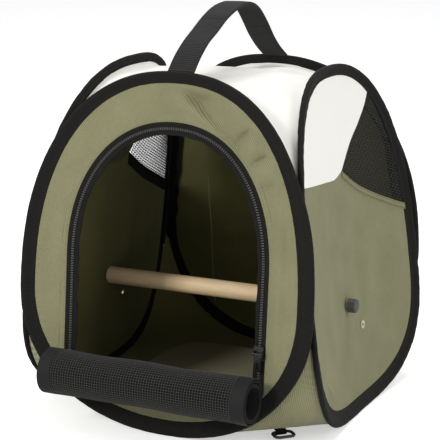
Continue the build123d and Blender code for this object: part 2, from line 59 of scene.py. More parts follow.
def srgb(red: float, green: float, blue: float) -> Colour:
    """Linear colour of a display colour.

    Args:
        red, green, blue: display values from 0 to 255.

    Returns:
        The three linear values from 0 to 1.
    """
    values = np.array([red, green, blue], float) / 255.0
    linear = np.where(values <= 0.04045, values / 12.92, ((values + 0.055) / 1.055) ** 2.4)
    return tuple(float(v) for v in linear)


def step(low: float, high: float, value: Array) -> Array:
    """Smooth rise from 0 at low to 1 at high: 3 t squared less 2 t cubed."""
    t = np.clip((np.asarray(value, float) - low) / (high - low), 0.0, 1.0)
    return t * t * (3 - 2 * t)


def hump(value: Array, middle: float, spread: float, power: int = 2) -> Array:
    """Bell of height 1 at the middle: e to minus (offset over spread) to the power."""
    return np.exp(-((value - middle) / spread) ** power)


def ripple(a: Array, b: Array, seed: int, waves: int = 6, longest: float = 60.0,
           shortest: float = 18.0) -> Array:
    """Soft uneven relief over two lengths in mm: a sum of sine waves of seeded direction and phase.

    Args:
        a, b: the two coordinates, in mm.
        seed: number that fixes the waves.
        waves: how many are added.
        longest, shortest: range of their lengths, in mm.

    Returns:
        Relief of about -1 to 1, with the shape of a and b together.
    """
    draw = np.random.default_rng(seed)
    total = np.zeros(np.broadcast(a, b).shape)
    for _ in range(waves):
        turn, phase = draw.uniform(0, math.pi), draw.uniform(0, 2 * math.pi)
        length = draw.uniform(shortest, longest)
        total += np.sin(2 * math.pi * (a * math.cos(turn) + b * math.sin(turn)) / length + phase)
    return total / math.sqrt(waves)


def smooth_line(points: Sequence[Tuple[float, float]], at: Array) -> Array:
    """Height of a smooth line through points, by cubic pieces whose slopes are the mean of their neighbours.

    Args:
        points: (across, height) places in order of rising across.
        at: places across.

    Returns:
        The heights there, carried on straight beyond the ends.
    """
    x, y = np.array(points, float).T
    slope = np.gradient(y, x)
    at = np.asarray(at, float)
    k = np.clip(np.searchsorted(x, at) - 1, 0, len(x) - 2)
    width = x[k + 1] - x[k]
    t = np.clip((at - x[k]) / width, 0, 1)
    inner = ((2 * t ** 3 - 3 * t ** 2 + 1) * y[k] + (t ** 3 - 2 * t ** 2 + t) * width * slope[k]
             + (3 * t ** 2 - 2 * t ** 3) * y[k + 1] + (t ** 3 - t ** 2) * width * slope[k + 1])
    before = np.where(at < x[0], (at - x[0]) * slope[0], 0)
    beyond = np.where(at > x[-1], (at - x[-1]) * slope[-1], 0)
    return inner + before + beyond


# ---------------------------------------------------------------- meshes

@dataclass
class Shape:
    """Points in mm, four-sided faces and a place on the cloth in mm for each face corner."""
    points: Array
    faces: Array
    uv: Array

    def plus(self, *others: "Shape") -> "Shape":
        """This shape and others as one, none of their points shared."""
        points, faces, uv = [self.points], [self.faces], [self.uv]
        start = len(self.points)
        for other in others:
            points.append(other.points)
            faces.append(other.faces + start)
            uv.append(other.uv)
            start += len(other.points)
        return Shape(np.concatenate(points), np.concatenate(faces), np.concatenate(uv))

    def flipped(self) -> "Shape":
        """The same shape with every face turned over."""
        uv = self.uv.reshape(-1, 4, 2)[:, ::-1].reshape(-1, 2)
        return Shape(self.points, self.faces[:, ::-1].copy(), uv)

    def facing(self, way: Array) -> "Shape":
        """The shape with its faces turned so that on the whole they look along a direction."""
        p = self.points[self.faces]
        normal = np.cross(p[:, 2] - p[:, 0], p[:, 3] - p[:, 1])
        return self if (normal @ np.asarray(way, float)).sum() >= 0 else self.flipped()

    def outward(self) -> "Shape":
        """A closed shape with its faces turned outward, by the sign of its volume."""
        p = self.points[self.faces]
        inside = np.einsum("ij,ij->i", np.cross(p[:, 0], p[:, 1]), p[:, 2])
        inside = inside + np.einsum("ij,ij->i", np.cross(p[:, 0], p[:, 2]), p[:, 3])
        return self if inside.sum() >= 0 else self.flipped()

    def area(self) -> float:
        """Surface in square mm."""
        p = self.points[self.faces]
        return float(np.linalg.norm(np.cross(p[:, 2] - p[:, 0], p[:, 3] - p[:, 1]), axis=1).sum() / 2)

    def piece(self, name: str, smooth: bool = True) -> bpy.types.Object:
        """The shape as an object in metres, linked to the scene."""
        mesh = bpy.data.meshes.new(name)
        mesh.from_pydata((self.points * MM).tolist(), [], self.faces.tolist())
        layer = mesh.uv_layers.new(name="UVMap")
        layer.data.foreach_set("uv", (self.uv * MM).astype(np.float32).ravel())
        mesh.polygons.foreach_set("use_smooth", np.full(len(mesh.polygons), smooth))
        mesh.update()
        made = bpy.data.objects.new(name, mesh)
        bpy.context.scene.collection.objects.link(made)
        return made


def lattice(points: Array, uv: Array, round_rows: bool = False, round_columns: bool = False) -> Shape:
    """Faces between the neighbours of a grid of points.

    Args:
        points: rows by columns by 3, in mm.
        uv: places on the cloth in mm, one row or column more than the points where these close.
        round_rows, round_columns: whether the last meets the first.

    Returns:
        The grid as a shape.
    """
    rows, columns = points.shape[:2]
    i, j = np.meshgrid(np.arange(rows if round_rows else rows - 1),
                       np.arange(columns if round_columns else columns - 1), indexing="ij")
    corners = [(i, j), (i + 1, j), (i + 1, j + 1), (i, j + 1)]
    faces = np.stack([(a % rows) * columns + b % columns for a, b in corners], -1).reshape(-1, 4)
    places = np.stack([uv[a, b] for a, b in corners], 2).reshape(-1, 2)
    return Shape(points.reshape(-1, 3), faces, places)


def lengths(points: Array, axis: int = 0) -> Array:
    """Distance run along a line of points, from 0 at its start."""
    steps = np.linalg.norm(np.diff(points, axis=axis), axis=-1)
    start = np.zeros_like(np.take(steps, [0], axis=axis))
    return np.concatenate([start, np.cumsum(steps, axis=axis)], axis=axis)


def band_shape(rings: Array, along: Array, around: Array, ends: bool) -> Shape:
    """Tube from rings of points, closed by ladders of faces across its first and last ring.

    Args:
        rings: stations by ring points by 3, with an even number of points to a ring.
        along: distance of each station.
        around: distance round the ring, one more than its points.
        ends: whether the tube is open-ended and needs its two caps.

    Returns:
        The closed shape, facing outward.
    """
    u, v = np.meshgrid(along, around, indexing="ij")
    made = lattice(rings, np.stack([u, v], -1), round_rows=not ends, round_columns=True)
    if not ends:
        return made.outward()
    stations, count = rings.shape[:2]
    k = np.arange(count // 2 - 1)
    ladder = np.stack([k, k + 1, count - 2 - k, count - 1 - k], -1)
    flat = np.stack([ladder[:, ::-1], ladder + (stations - 1) * count], 0).reshape(-1, 4)
    uv = np.stack([np.tile([0.0, 1.0, 1.0, 0.0], len(flat)), np.tile([0.0, 0.0, 1.0, 1.0], len(flat))], -1)
    whole = Shape(made.points, np.concatenate([made.faces, flat]), np.concatenate([made.uv, uv]))
    return whole.outward()


def threads(paths: Array, up: Array, side: Array, count: int = 4) -> Shape:
    """Many thin closed tubes at once, each through its own row of points.

    Args:
        paths: threads by stations by 3, in mm.
        up, side: half thickness vectors across each thread, of a shape that spreads over the paths.
        count: corners of the section.

    Returns:
        All the tubes as one shape, each capped at both ends.
    """
    number, stations = paths.shape[:2]
    up, side = np.broadcast_to(up, paths.shape), np.broadcast_to(side, paths.shape)
    turn = 2 * math.pi * (np.arange(count) + 0.5) / count
    rings = (paths[:, :, None] + up[:, :, None] * np.sin(turn)[None, None, :, None]
             + side[:, :, None] * np.cos(turn)[None, None, :, None])
    t, i, j = np.meshgrid(np.arange(number), np.arange(stations - 1), np.arange(count), indexing="ij")

    def at(station: Array, corner: Array) -> Array:
        """Number of a corner at a station of each thread."""
        return (t * stations + station) * count + corner % count
    faces = np.stack([at(i, j), at(i, j + 1), at(i + 1, j + 1), at(i + 1, j)], -1).reshape(-1, 4)
    first = (np.arange(number)[:, None] * stations * count) + np.arange(4)[None]
    last = first + (stations - 1) * count
    faces = np.concatenate([faces, first[:, ::-1], last])
    uv = np.tile(np.array([[0, 0], [0, 1], [1, 1], [1, 0]], float), (len(faces), 1))
    return Shape(rings.reshape(-1, 3), faces, uv).outward()


def stamp(model: Shape, centres: Array, axes: Array) -> Shape:
    """Copies of a small shape, one at each centre, turned to each set of three axes (as rows)."""
    points = np.einsum("kc,ncd->nkd", model.points, axes) + centres[:, None]
    number, size = len(centres), len(model.points)
    faces = (model.faces[None] + (np.arange(number) * size)[:, None, None]).reshape(-1, 4)
    return Shape(points.reshape(-1, 3), faces, np.tile(model.uv, (number, 1)))


def pillow(long: float, wide: float, high: float, rise: float = 0.55) -> Shape:
    """Small block with its upper edges drawn in, for a stitch or a zip tooth.

    Three rings of four corners: the foot, the shoulder at a share of the height, and the smaller crown.
    """
    rings = []
    for level, size in ((0.0, 0.86), (rise, 1.0), (1.0, 0.6)):
        a, b = long / 2 * size, wide / 2 * size
        rings.append([(x * a, y * b, level * high) for x, y in ((-1, -1), (1, -1), (1, 1), (-1, 1))])
    return band_shape(np.array(rings, float), np.arange(3.0), np.arange(5.0), ends=True)


# ---------------------------------------------------------------- walls

BAND_DEPTH, BAND_SIDE, BAND_TOP, BAND_FOOT = 5.0, 13.0, 10.0, 14.0
SEAM_GAP = 0.3
TUCK = 3.5
CLOTH = 0.9


class Side(Enum):
    """The four upright walls."""
    FRONT = "front"
    REAR = "rear"
    RIGHT = "right"
    LEFT = "left"


@dataclass(frozen=True)
class Wall:
    """A leaning wall bowed inward between its corners, inside one egg-shaped hoop. Sizes in mm."""
    side: Side
    reach: float
    lean: float
    lean_level: float
    bow: float
    half: float
    top: float
    foot: float
    level: float
    round_top: float
    round_foot: float

    @property
    def faces(self) -> Array:
        """Direction that the wall looks to."""
        return np.array({Side.FRONT: (0, -1, 0), Side.REAR: (0, 1, 0), Side.RIGHT: (1, 0, 0),
                         Side.LEFT: (-1, 0, 0)}[self.side], float)

    def depth(self, across: Array, up: Array) -> Array:
        """Distance from the centre plane: reach, less lean times rise, less bow times (1 - share squared)."""
        return self.reach - self.lean * (up - self.lean_level) - self.bow * (1 - (across / self.half) ** 2)

    def spot(self, depth: Array, across: Array, up: Array) -> Array:
        """Points of the carrier at a distance from the centre plane, across and up."""
        x, y = {Side.FRONT: (across, -depth), Side.REAR: (across, depth), Side.RIGHT: (depth, across),
                Side.LEFT: (-depth, across)}[self.side]
        return np.stack([x, y, up], -1)

    def place(self, across: Array, up: Array, out: Array = 0.0) -> Array:
        """Points of the carrier at places on the wall, moved outward by the given mm."""
        across, up, out = np.broadcast_arrays(np.asarray(across, float), np.asarray(up, float),
                                              np.asarray(out, float))
        if self.side in (Side.RIGHT, Side.LEFT):
            edge = FRONT.depth(self.depth(across, up) + out, up) - BAND_DEPTH / 2 - SEAM_GAP
            across = np.clip(across, -edge, edge)
        return self.spot(self.depth(across, up) + out, across, up)

    def outline(self, turn: Array, share: Array, tuck: float = 0.0) -> Tuple[Array, Array]:
        """Place on an oval between the hoop's outer edge (share 0) and its binding's inner edge (share 1).

        The oval is |x/a|^n + |z/b|^n = 1 with one power above the level and one below.
        """
        c, s = np.cos(turn), np.sin(turn)
        side, top, foot = ((w - tuck) * share for w in (BAND_SIDE, BAND_TOP, BAND_FOOT))
        power = np.where(s >= 0, self.round_top, self.round_foot)
        span = np.where(s >= 0, self.top - top - self.level, self.level - self.foot - foot)
        return ((self.half - side) * np.sign(c) * np.abs(c) ** (2 / power),
                self.level + span * np.sign(s) * np.abs(s) ** (2 / power))

    def width(self, up: Array, inset: float = 0.0) -> Array:
        """Half width of the hoop's outline at heights, moved in by the inset."""
        rising = up >= self.level
        span = np.where(rising, self.top - BAND_TOP, self.foot + BAND_FOOT) - self.level
        power = np.where(rising, self.round_top, self.round_foot)
        share = np.clip(np.abs((up - self.level) / span), 0, 1)
        return (self.half - inset) * (1 - share ** power) ** (1 / power)

    @property
    def cloth_half(self) -> float:
        """Half width of the cloth, tucked under the binding."""
        return self.half - BAND_SIDE + TUCK

    def column(self, across: Array) -> Tuple[Array, Array]:
        """Lowest and highest place of the cloth at places across, tucked under the binding."""
        share = np.clip(np.abs(across) / self.cloth_half, 0, 1)
        fall = (1 - share ** self.round_foot) ** (1 / self.round_foot)
        rise = (1 - share ** self.round_top) ** (1 / self.round_top)
        low = self.level - (self.level - self.foot - BAND_FOOT + TUCK) * fall
        return low, self.level + (self.top - BAND_TOP + TUCK - self.level) * rise

    def run(self, count: int) -> Array:
        """Places across from edge to edge, closer together toward the edges: a sine of even turns."""
        return self.cloth_half * 0.999 * np.sin(np.linspace(-math.pi / 2, math.pi / 2, count))


FRONT = Wall(Side.FRONT, reach=132.7, lean=0.099, lean_level=166.4, bow=16.1, half=137.2, top=310.3,
             foot=-0.5, level=122.2, round_top=2.30, round_foot=2.14)
REAR = replace(FRONT, side=Side.REAR, top=302.0)
RIGHT = Wall(Side.RIGHT, reach=132.7, lean=0.121, lean_level=143.9, bow=17.8, half=132.0, top=308.5,
             foot=-0.5, level=111.7, round_top=2.56, round_foot=2.80)
LEFT = replace(RIGHT, side=Side.LEFT)
SIDES = (RIGHT, LEFT)


# ---------------------------------------------------------------- finishes

class Nodes:
    """Short way to place and join shader nodes in one tree."""

    def __init__(self, tree: bpy.types.NodeTree) -> None:
        """Start on a tree, emptied."""
        self.tree = tree
        tree.nodes.clear()

    def add(self, kind: str, inputs: Optional[Dict[object, object]] = None,
            **settings: object) -> bpy.types.Node:
        """Place a node.

        Args:
            kind: the node's type.
            inputs: socket names or numbers with a value or another node's output.
            settings: the node's own settings.

        Returns:
            The node.
        """
        node = self.tree.nodes.new(kind)
        for key, value in settings.items():
            setattr(node, key, value)
        for key, value in (inputs or {}).items():
            if isinstance(value, bpy.types.NodeSocket):
                self.tree.links.new(value, node.inputs[key])
            else:
                node.inputs[key].default_value = value
        return node

    def math(self, operation: str, *values: object) -> bpy.types.NodeSocket:
        """Output of a maths node on numbers or outputs."""
        return self.add("ShaderNodeMath", dict(enumerate(values)), operation=operation).outputs[0]

    def mix(self, share: object, first: object, second: object) -> bpy.types.NodeSocket:
        """Colour between two colours."""
        node = self.add("ShaderNodeMix", data_type="RGBA")
        for key, value in ((0, share), (6, first), (7, second)):
            if isinstance(value, bpy.types.NodeSocket):
                self.tree.links.new(value, node.inputs[key])
            else:
                node.inputs[key].default_value = value if key == 0 else (*value, 1.0)
        return node.outputs[2]


def shader_group(name: str, inputs: Dict[str, float], outputs: Sequence[str],
                 build: Callable[[Nodes, bpy.types.Node], Dict[str, bpy.types.NodeSocket]],
                 vectors: Sequence[str] = ("Place",)) -> bpy.types.NodeTree:
    """Shader node group with named sockets.

    Args:
        name: the group's name.
        inputs: number inputs with their defaults.
        outputs: names of the number outputs.
        build: function that places the nodes and returns an output for each name.
        vectors: names of the vector inputs, placed first.

    Returns:
        The group's tree, built once.
    """
    if name in bpy.data.node_groups:
        return bpy.data.node_groups[name]
    tree = bpy.data.node_groups.new(name, "ShaderNodeTree")
    for vector in vectors:
        tree.interface.new_socket(vector, in_out="INPUT", socket_type="NodeSocketVector")
    for key, value in inputs.items():
        tree.interface.new_socket(key, in_out="INPUT", socket_type="NodeSocketFloat").default_value = value
    for key in outputs:
        tree.interface.new_socket(key, in_out="OUTPUT", socket_type="NodeSocketFloat")
    nodes = Nodes(tree)
    start = nodes.add("NodeGroupInput")
    made = build(nodes, start)
    nodes.add("NodeGroupOutput", made)
    return tree


def twill(nodes: Nodes, start: bpy.types.Node) -> Dict[str, bpy.types.NodeSocket]:
    """Diagonal weave: a sine of the two coordinates added, broken by a finer crosswise sine."""
    parts = nodes.add("ShaderNodeSeparateXYZ", {0: start.outputs["Place"]})
    scale = nodes.math("DIVIDE", 6283.2, start.outputs["Pitch"])
    along = nodes.math("MULTIPLY", nodes.math("ADD", parts.outputs[0], parts.outputs[1]), scale)
    across = nodes.math("MULTIPLY", nodes.math("SUBTRACT", parts.outputs[0], parts.outputs[1]), scale)
    ridge = nodes.math("SINE", along)
    crossing = nodes.math("SINE", nodes.math("MULTIPLY", across, 1.7))
    height = nodes.math("MULTIPLY_ADD", crossing, 0.3, ridge)
    return {"Height": nodes.math("MULTIPLY_ADD", height, 0.38, 0.5)}


def ribs(nodes: Nodes, start: bpy.types.Node) -> Dict[str, bpy.types.NodeSocket]:
    """Straight ribs across the first coordinate, with a fine weave along the second."""
    parts = nodes.add("ShaderNodeSeparateXYZ", {0: start.outputs["Place"]})
    scale = nodes.math("DIVIDE", 3141.6, start.outputs["Pitch"])
    rib = nodes.math("ABSOLUTE", nodes.math("SINE", nodes.math("MULTIPLY", parts.outputs[0], scale)))
    fine = nodes.math("SINE", nodes.math("MULTIPLY", parts.outputs[1], nodes.math("MULTIPLY", scale, 2.6)))
    return {"Height": nodes.math("MULTIPLY_ADD", fine, 0.12, rib)}


def mottle(nodes: Nodes, start: bpy.types.Node) -> Dict[str, bpy.types.NodeSocket]:
    """Uneven tone: two noises of different size, added."""
    place, scale = start.outputs["Place"], start.outputs["Scale"]
    broad = nodes.add("ShaderNodeTexNoise", {"Vector": place, "Scale": scale, "Detail": 3.0}).outputs[0]
    fine = nodes.add("ShaderNodeTexNoise", {"Vector": place, "Detail": 2.0,
                                            "Scale": nodes.math("MULTIPLY", scale, 9.0)}).outputs[0]
    return {"Tone": nodes.math("MULTIPLY_ADD", fine, 0.35, nodes.math("MULTIPLY", broad, 0.65))}


def twill_group() -> bpy.types.NodeTree:
    """The diagonal weave as a group."""
    return shader_group("twill_weave", {"Pitch": 1.2}, ["Height"], twill)


def ribs_group() -> bpy.types.NodeTree:
    """The ribbed tape as a group."""
    return shader_group("tape_ribs", {"Pitch": 1.4}, ["Height"], ribs)


def mottle_group() -> bpy.types.NodeTree:
    """The uneven tone as a group."""
    return shader_group("uneven_tone", {"Scale": 40.0}, ["Tone"], mottle)


class Weave(Enum):
    """How a cloth or tape is woven."""
    TWILL = "twill"
    RIBBED = "ribbed"
    PLAIN = "plain"


@dataclass(frozen=True)
class Finish:
    """A finish under its material's name, with the slot it belongs to."""
    name: str
    slot: str

    def sockets(self, nodes: Nodes) -> Dict[str, object]:
        """What the shader's sockets get: numbers, or outputs of nodes."""
        raise NotImplementedError

    def material(self) -> bpy.types.Material:
        """The finish as a material, made once."""
        if self.name in bpy.data.materials:
            return bpy.data.materials[self.name]
        made = bpy.data.materials.new(self.name)
        made.use_nodes = True
        nodes = Nodes(made.node_tree)
        shader = nodes.add("ShaderNodeBsdfPrincipled", self.sockets(nodes))
        nodes.add("ShaderNodeOutputMaterial", {0: shader.outputs[0]})
        return made


@dataclass(frozen=True)
class Cloth(Finish):
    """Woven finish, on the piece's own cloth coordinates."""
    colour: Colour
    shade: Colour
    weave: Weave
    pitch: float
    depth: float
    rough: float = 0.85
    sheen: float = 0.1
    tone: float = 30.0

    def sockets(self, nodes: Nodes) -> Dict[str, object]:
        """Weave and tone share the colour, the weave alone gives the relief."""
        place = nodes.add("ShaderNodeUVMap", uv_map="UVMap").outputs[0]
        group = ribs_group() if self.weave is Weave.RIBBED else twill_group()
        weave = nodes.add("ShaderNodeGroup", {"Place": place, "Pitch": self.pitch},
                          node_tree=group).outputs[0]
        tone = nodes.add("ShaderNodeGroup", {"Place": place, "Scale": self.tone},
                         node_tree=mottle_group()).outputs[0]
        both = nodes.math("MULTIPLY_ADD", weave, 0.5, nodes.math("MULTIPLY", tone, 0.5))
        share = nodes.add("ShaderNodeMapRange", {0: both, 1: 0.3, 2: 0.7}, clamp=True).outputs[0]
        bump = nodes.add("ShaderNodeBump", {"Height": weave, "Distance": self.depth * MM, "Strength": 1.0})
        return {"Base Color": nodes.mix(share, self.shade, self.colour), "Normal": bump.outputs[0],
                "Roughness": nodes.math("MULTIPLY_ADD", tone, 0.12, self.rough - 0.06),
                "Sheen Weight": self.sheen, "Sheen Roughness": 0.5, "Specular IOR Level": 0.12}


@dataclass(frozen=True)
class Moulded(Finish):
    """Plastic or metal finish, on object coordinates."""
    colour: Colour
    rough: float
    metal: float = 0.0
    grain: float = 0.02
    scale: float = 900.0

    def sockets(self, nodes: Nodes) -> Dict[str, object]:
        """An uneven tone in colour, gloss and relief."""
        place = nodes.add("ShaderNodeTexCoord").outputs["Object"]
        tone = nodes.add("ShaderNodeGroup", {"Place": place, "Scale": self.scale},
                         node_tree=mottle_group()).outputs[0]
        dark = tuple(c * 0.8 for c in self.colour)
        pale = tuple(min(c * 1.15, 1) for c in self.colour)
        bump = nodes.add("ShaderNodeBump", {"Height": tone, "Distance": self.grain * MM})
        return {"Base Color": nodes.mix(tone, dark, pale), "Normal": bump.outputs[0], "Metallic": self.metal,
                "Roughness": nodes.math("MULTIPLY_ADD", tone, 0.2, self.rough - 0.1)}


@dataclass(frozen=True)
class Timber(Finish):
    """Bare wood whose grain runs along X, on object coordinates."""
    pale: Colour
    dark: Colour

    def sockets(self, nodes: Nodes) -> Dict[str, object]:
        """Broad and fine noise drawn out twelve times along the grain."""
        place = nodes.add("ShaderNodeTexCoord").outputs["Object"]
        drawn = nodes.add("ShaderNodeMapping", {"Vector": place, "Scale": (0.08, 1.0, 1.0)}).outputs[0]
        grain = nodes.add("ShaderNodeTexNoise", {"Vector": drawn, "Scale": 420.0, "Detail": 5.0,
                                                 "Roughness": 0.6}).outputs[0]
        broad = nodes.add("ShaderNodeTexNoise", {"Vector": drawn, "Scale": 60.0, "Detail": 2.0}).outputs[0]
        both = nodes.math("MULTIPLY_ADD", broad, 0.5, nodes.math("MULTIPLY", grain, 0.5))
        share = nodes.add("ShaderNodeMapRange", {0: both, 1: 0.38, 2: 0.62}, clamp=True).outputs[0]
        bump = nodes.add("ShaderNodeBump", {"Height": grain, "Distance": 0.05 * MM})
        return {"Base Color": nodes.mix(share, self.dark, self.pale), "Normal": bump.outputs[0],
                "Roughness": nodes.math("MULTIPLY_ADD", grain, 0.2, 0.45)}


OLIVE = Cloth("olive_twill", "olive_cloth", srgb(146, 144, 112), srgb(116, 114, 84), Weave.TWILL, 2.2, 0.28)
# Painted shade: darker copies of the olive and cream cloth for the inner faces of the walls, top and bottom,
# standing in for the shade inside the carrier.
OLIVE_INSIDE_SHADE = Cloth("olive_inside_painted_shade", "olive_cloth",
                   srgb(114, 112, 70), srgb(98, 96, 58), Weave.TWILL, 2.2, 0.10)
CREAM_INSIDE_SHADE = Cloth("cream_inside_painted_shade", "cream_cloth",
                   srgb(96, 95, 70), srgb(80, 79, 56), Weave.TWILL, 1.6, 0.05)
CREAM = Cloth("cream_cloth", "cream_cloth",
              srgb(230, 228, 208), srgb(221, 218, 196), Weave.TWILL, 1.0, 0.05, 0.75)
TAPE = Cloth("binding_tape", "black_tape",
             srgb(30, 29, 27), srgb(17, 17, 15), Weave.RIBBED, 1.8, 0.25, 0.85, 0.02)
NET = Cloth("knitted_net", "black_net", srgb(62, 62, 56), srgb(44, 44, 40), Weave.TWILL, 1.6, 0.25, 0.8)
WEBBING = Cloth("handle_webbing", "webbing",
                srgb(46, 46, 46), srgb(22, 22, 22), Weave.RIBBED, 1.9, 0.4, 0.8, 0.03)
THREAD_OLIVE = Cloth("olive_thread", "olive_cloth",
                     srgb(150, 148, 118), srgb(120, 118, 90), Weave.PLAIN, 0.4, 0.03)
THREAD_BLACK = Cloth("black_thread", "black_tape",
                     srgb(40, 40, 38), srgb(24, 24, 22), Weave.PLAIN, 0.4, 0.03)
STITCH = Cloth("hem_thread", "olive_cloth", srgb(88, 86, 60), srgb(72, 70, 48), Weave.PLAIN, 0.4, 0.03)
# Painted shade and painted light: the rolled door's black net in two copies. A near-black one on the wound
# sheet stands in for the shade between its turns, and a lighter one on the outer threads stands in for their
# lit side.
NET_SHADED = Cloth("wound_net_painted_shade", "black_net", srgb(12, 12, 11), srgb(8, 8, 7), Weave.TWILL, 1.6, 0.2, 0.9)
NET_LIT = Cloth("net_thread_painted_light", "black_net",
                srgb(84, 84, 80), srgb(58, 58, 55), Weave.PLAIN, 1.0, 0.05, 0.7, 0.03)
BAND_CLOTH = Cloth("end_band_cloth", "black_tape",
                   srgb(34, 34, 35), srgb(24, 24, 25), Weave.TWILL, 0.9, 0.05, 0.65, 0.03)
COVER = Cloth("board_cloth", "board", srgb(140, 134, 104), srgb(122, 116, 88), Weave.TWILL, 2.0, 0.12)
TOOTH = Moulded("coil_teeth", "black_plastic", srgb(78, 78, 76), 0.35)
BLACK_PLASTIC = Moulded("black_plastic", "black_plastic", srgb(32, 32, 31), 0.42)
DARK_METAL = Moulded("black_lacquer", "dark_metal", srgb(44, 44, 43), 0.32, 0.6)
BRASS = Moulded("pressed_brass", "brass", srgb(214, 204, 168), 0.3, 1.0)
STEEL = Moulded("plated_steel", "steel", srgb(168, 168, 166), 0.3, 1.0)
WOOD = Timber("bare_beech", "perch_wood", srgb(250, 222, 180), srgb(232, 198, 150))


def dress(piece: bpy.types.Object, finish: Finish, body: str, *stands_for: str) -> bpy.types.Object:
    """Give a new piece its finish, its body and the nodes it stands for."""
    piece.data.materials.append(finish.material())
    if body:
        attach(piece, body)
    if stands_for:
        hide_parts(*stands_for)
    LOG.info("%s: %d faces", piece.name, len(piece.data.polygons))
    return piece


def repaint(node: str, finish: Finish) -> None:
    """Give a CAD node that stays in view a better finish."""
    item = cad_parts[node]
    item.data.materials.clear()
    item.data.materials.append(finish.material())


def thicken(piece: bpy.types.Object, thick: float, inside_shade: Optional[Cloth] = None) -> None:
    """Give a sheet its thickness in mm, half to each side, and, where one is given, a darker copy of its
    cloth on the inner face as painted shade for the inside of the carrier.
    """
    layer = piece.modifiers.new("thickness", "SOLIDIFY")
    if inside_shade is not None:
        piece.data.materials.append(inside_shade.material())
        layer.material_offset = 1
    layer.thickness = thick * MM
    layer.offset = 0.0
    layer.use_even_offset = False


def tape_section(wide: float, thick: float, steps: int = 10) -> Tuple[Array, Array]:
    """Closed section of a flat tape: places across and heights, its edges drawn in by quarter circles."""
    across = wide * (1 - np.cos(math.pi * np.arange(steps + 1) / steps)) / 2
    edge = np.clip((np.abs(across - wide / 2) - (wide - thick) / 2) / (thick / 2), 0, 1)
    high = thick / 2 * np.sqrt(1 - edge ** 2)
    return np.concatenate([across, across[-2:0:-1]]), np.concatenate([high, -high[-2:0:-1]])


def ribbon(place: Place, run: Array, wide: float, thick: float, base: float = 0.0, steps: int = 10) -> Shape:
    """Flat tape along a run.

    Args:
        place: function of (run, across, out) that gives points in mm.
        run: places along the tape.
        wide, thick: its section.
        base: how far out its middle lies.
        steps: points across it.

    Returns:
        The closed tape, its length and width as cloth coordinates.
    """
    across, high = tape_section(wide, thick, steps)
    s, w = np.meshgrid(run, across, indexing="ij")
    points = place(s, w, base + np.broadcast_to(high, s.shape))
    middle = lengths(points.mean(axis=1))
    around = np.append(across, 2 * wide)
    around[steps + 1:] = 2 * wide - around[steps + 1:]
    return band_shape(points, middle, around, ends=True)


# ---------------------------------------------------------------- hoops

@dataclass
class HoopBindings:
    """Ribbed tape folded round each sprung hoop."""
    stations: int = 520
    steps: int = 14
    lip: float = 1.0
    bulge: float = 1.45
    round_share: float = 0.16
    pucker: float = 0.16
    spread: float = 3.0

    def section(self) -> Tuple[Array, Array]:
        """Closed section: shares from the outer to the inner edge and back, with heights out of the wall.

        Each face is a lip plus a bulge over the wire that fades by the middle, drawn to nothing at the edge
        by a quarter circle.
        """
        share = (1 - np.cos(math.pi * np.arange(self.steps + 1) / self.steps)) / 2
        height = self.lip + self.bulge * (1 - step(0.28, 0.75, share))
        height = height * np.sqrt(np.clip(1 - (1 - np.minimum(share / self.round_share, 1)) ** 2, 0, 1))
        height = height * np.sqrt(np.clip(1 - (np.maximum(share - 0.96, 0) / 0.045) ** 2, 0, 1))
        return (np.concatenate([share, share[-2:0:-1]]), np.concatenate([height, -height[-2:0:-1]]))

    def build(self, wall: Wall) -> bpy.types.Object:
        """One hoop's binding, flat where it stands on the ground."""
        turn = 2 * math.pi * np.arange(self.stations) / self.stations
        share, out = self.section()
        across, up = wall.outline(turn[:, None], share[None])
        along = lengths(np.stack(wall.outline(np.append(turn, 2 * math.pi), np.array(0.4)), -1))
        if wall is FRONT:
            right = step(40, 95, up) * (1 - step(185, 240, up)) * (across > 0)
            across = across + self.spread * (1 - share[None]) * right
        pucker = self.pucker * ripple(along[:-1, None], share[None] * 9, 11 + len(wall.side.value), 7, 30, 7)
        pucker = np.sign(out)[None] * pucker * step(0, 0.3, np.abs(out))[None]
        points = wall.place(across, up, out[None] + pucker)
        points[..., 2] = np.maximum(points[..., 2], 0.0)
        around = np.append(share * BAND_SIDE, 2 * BAND_SIDE)
        around[self.steps + 1:] = 2 * BAND_SIDE - around[self.steps + 1:]
        shape = band_shape(points, along, around, ends=False)
        name = wall.side.value + "_hoop_binding"
        return dress(shape.piece(name + "_tape"), TAPE, "bag", name)

    def make(self) -> None:
        """All four bindings, and the wires inside them."""
        for wall in (FRONT, REAR, RIGHT, LEFT):
            self.build(wall)
            repaint(wall.side.value + "_hoop_wire", STEEL)


# ---------------------------------------------------------------- cloth walls

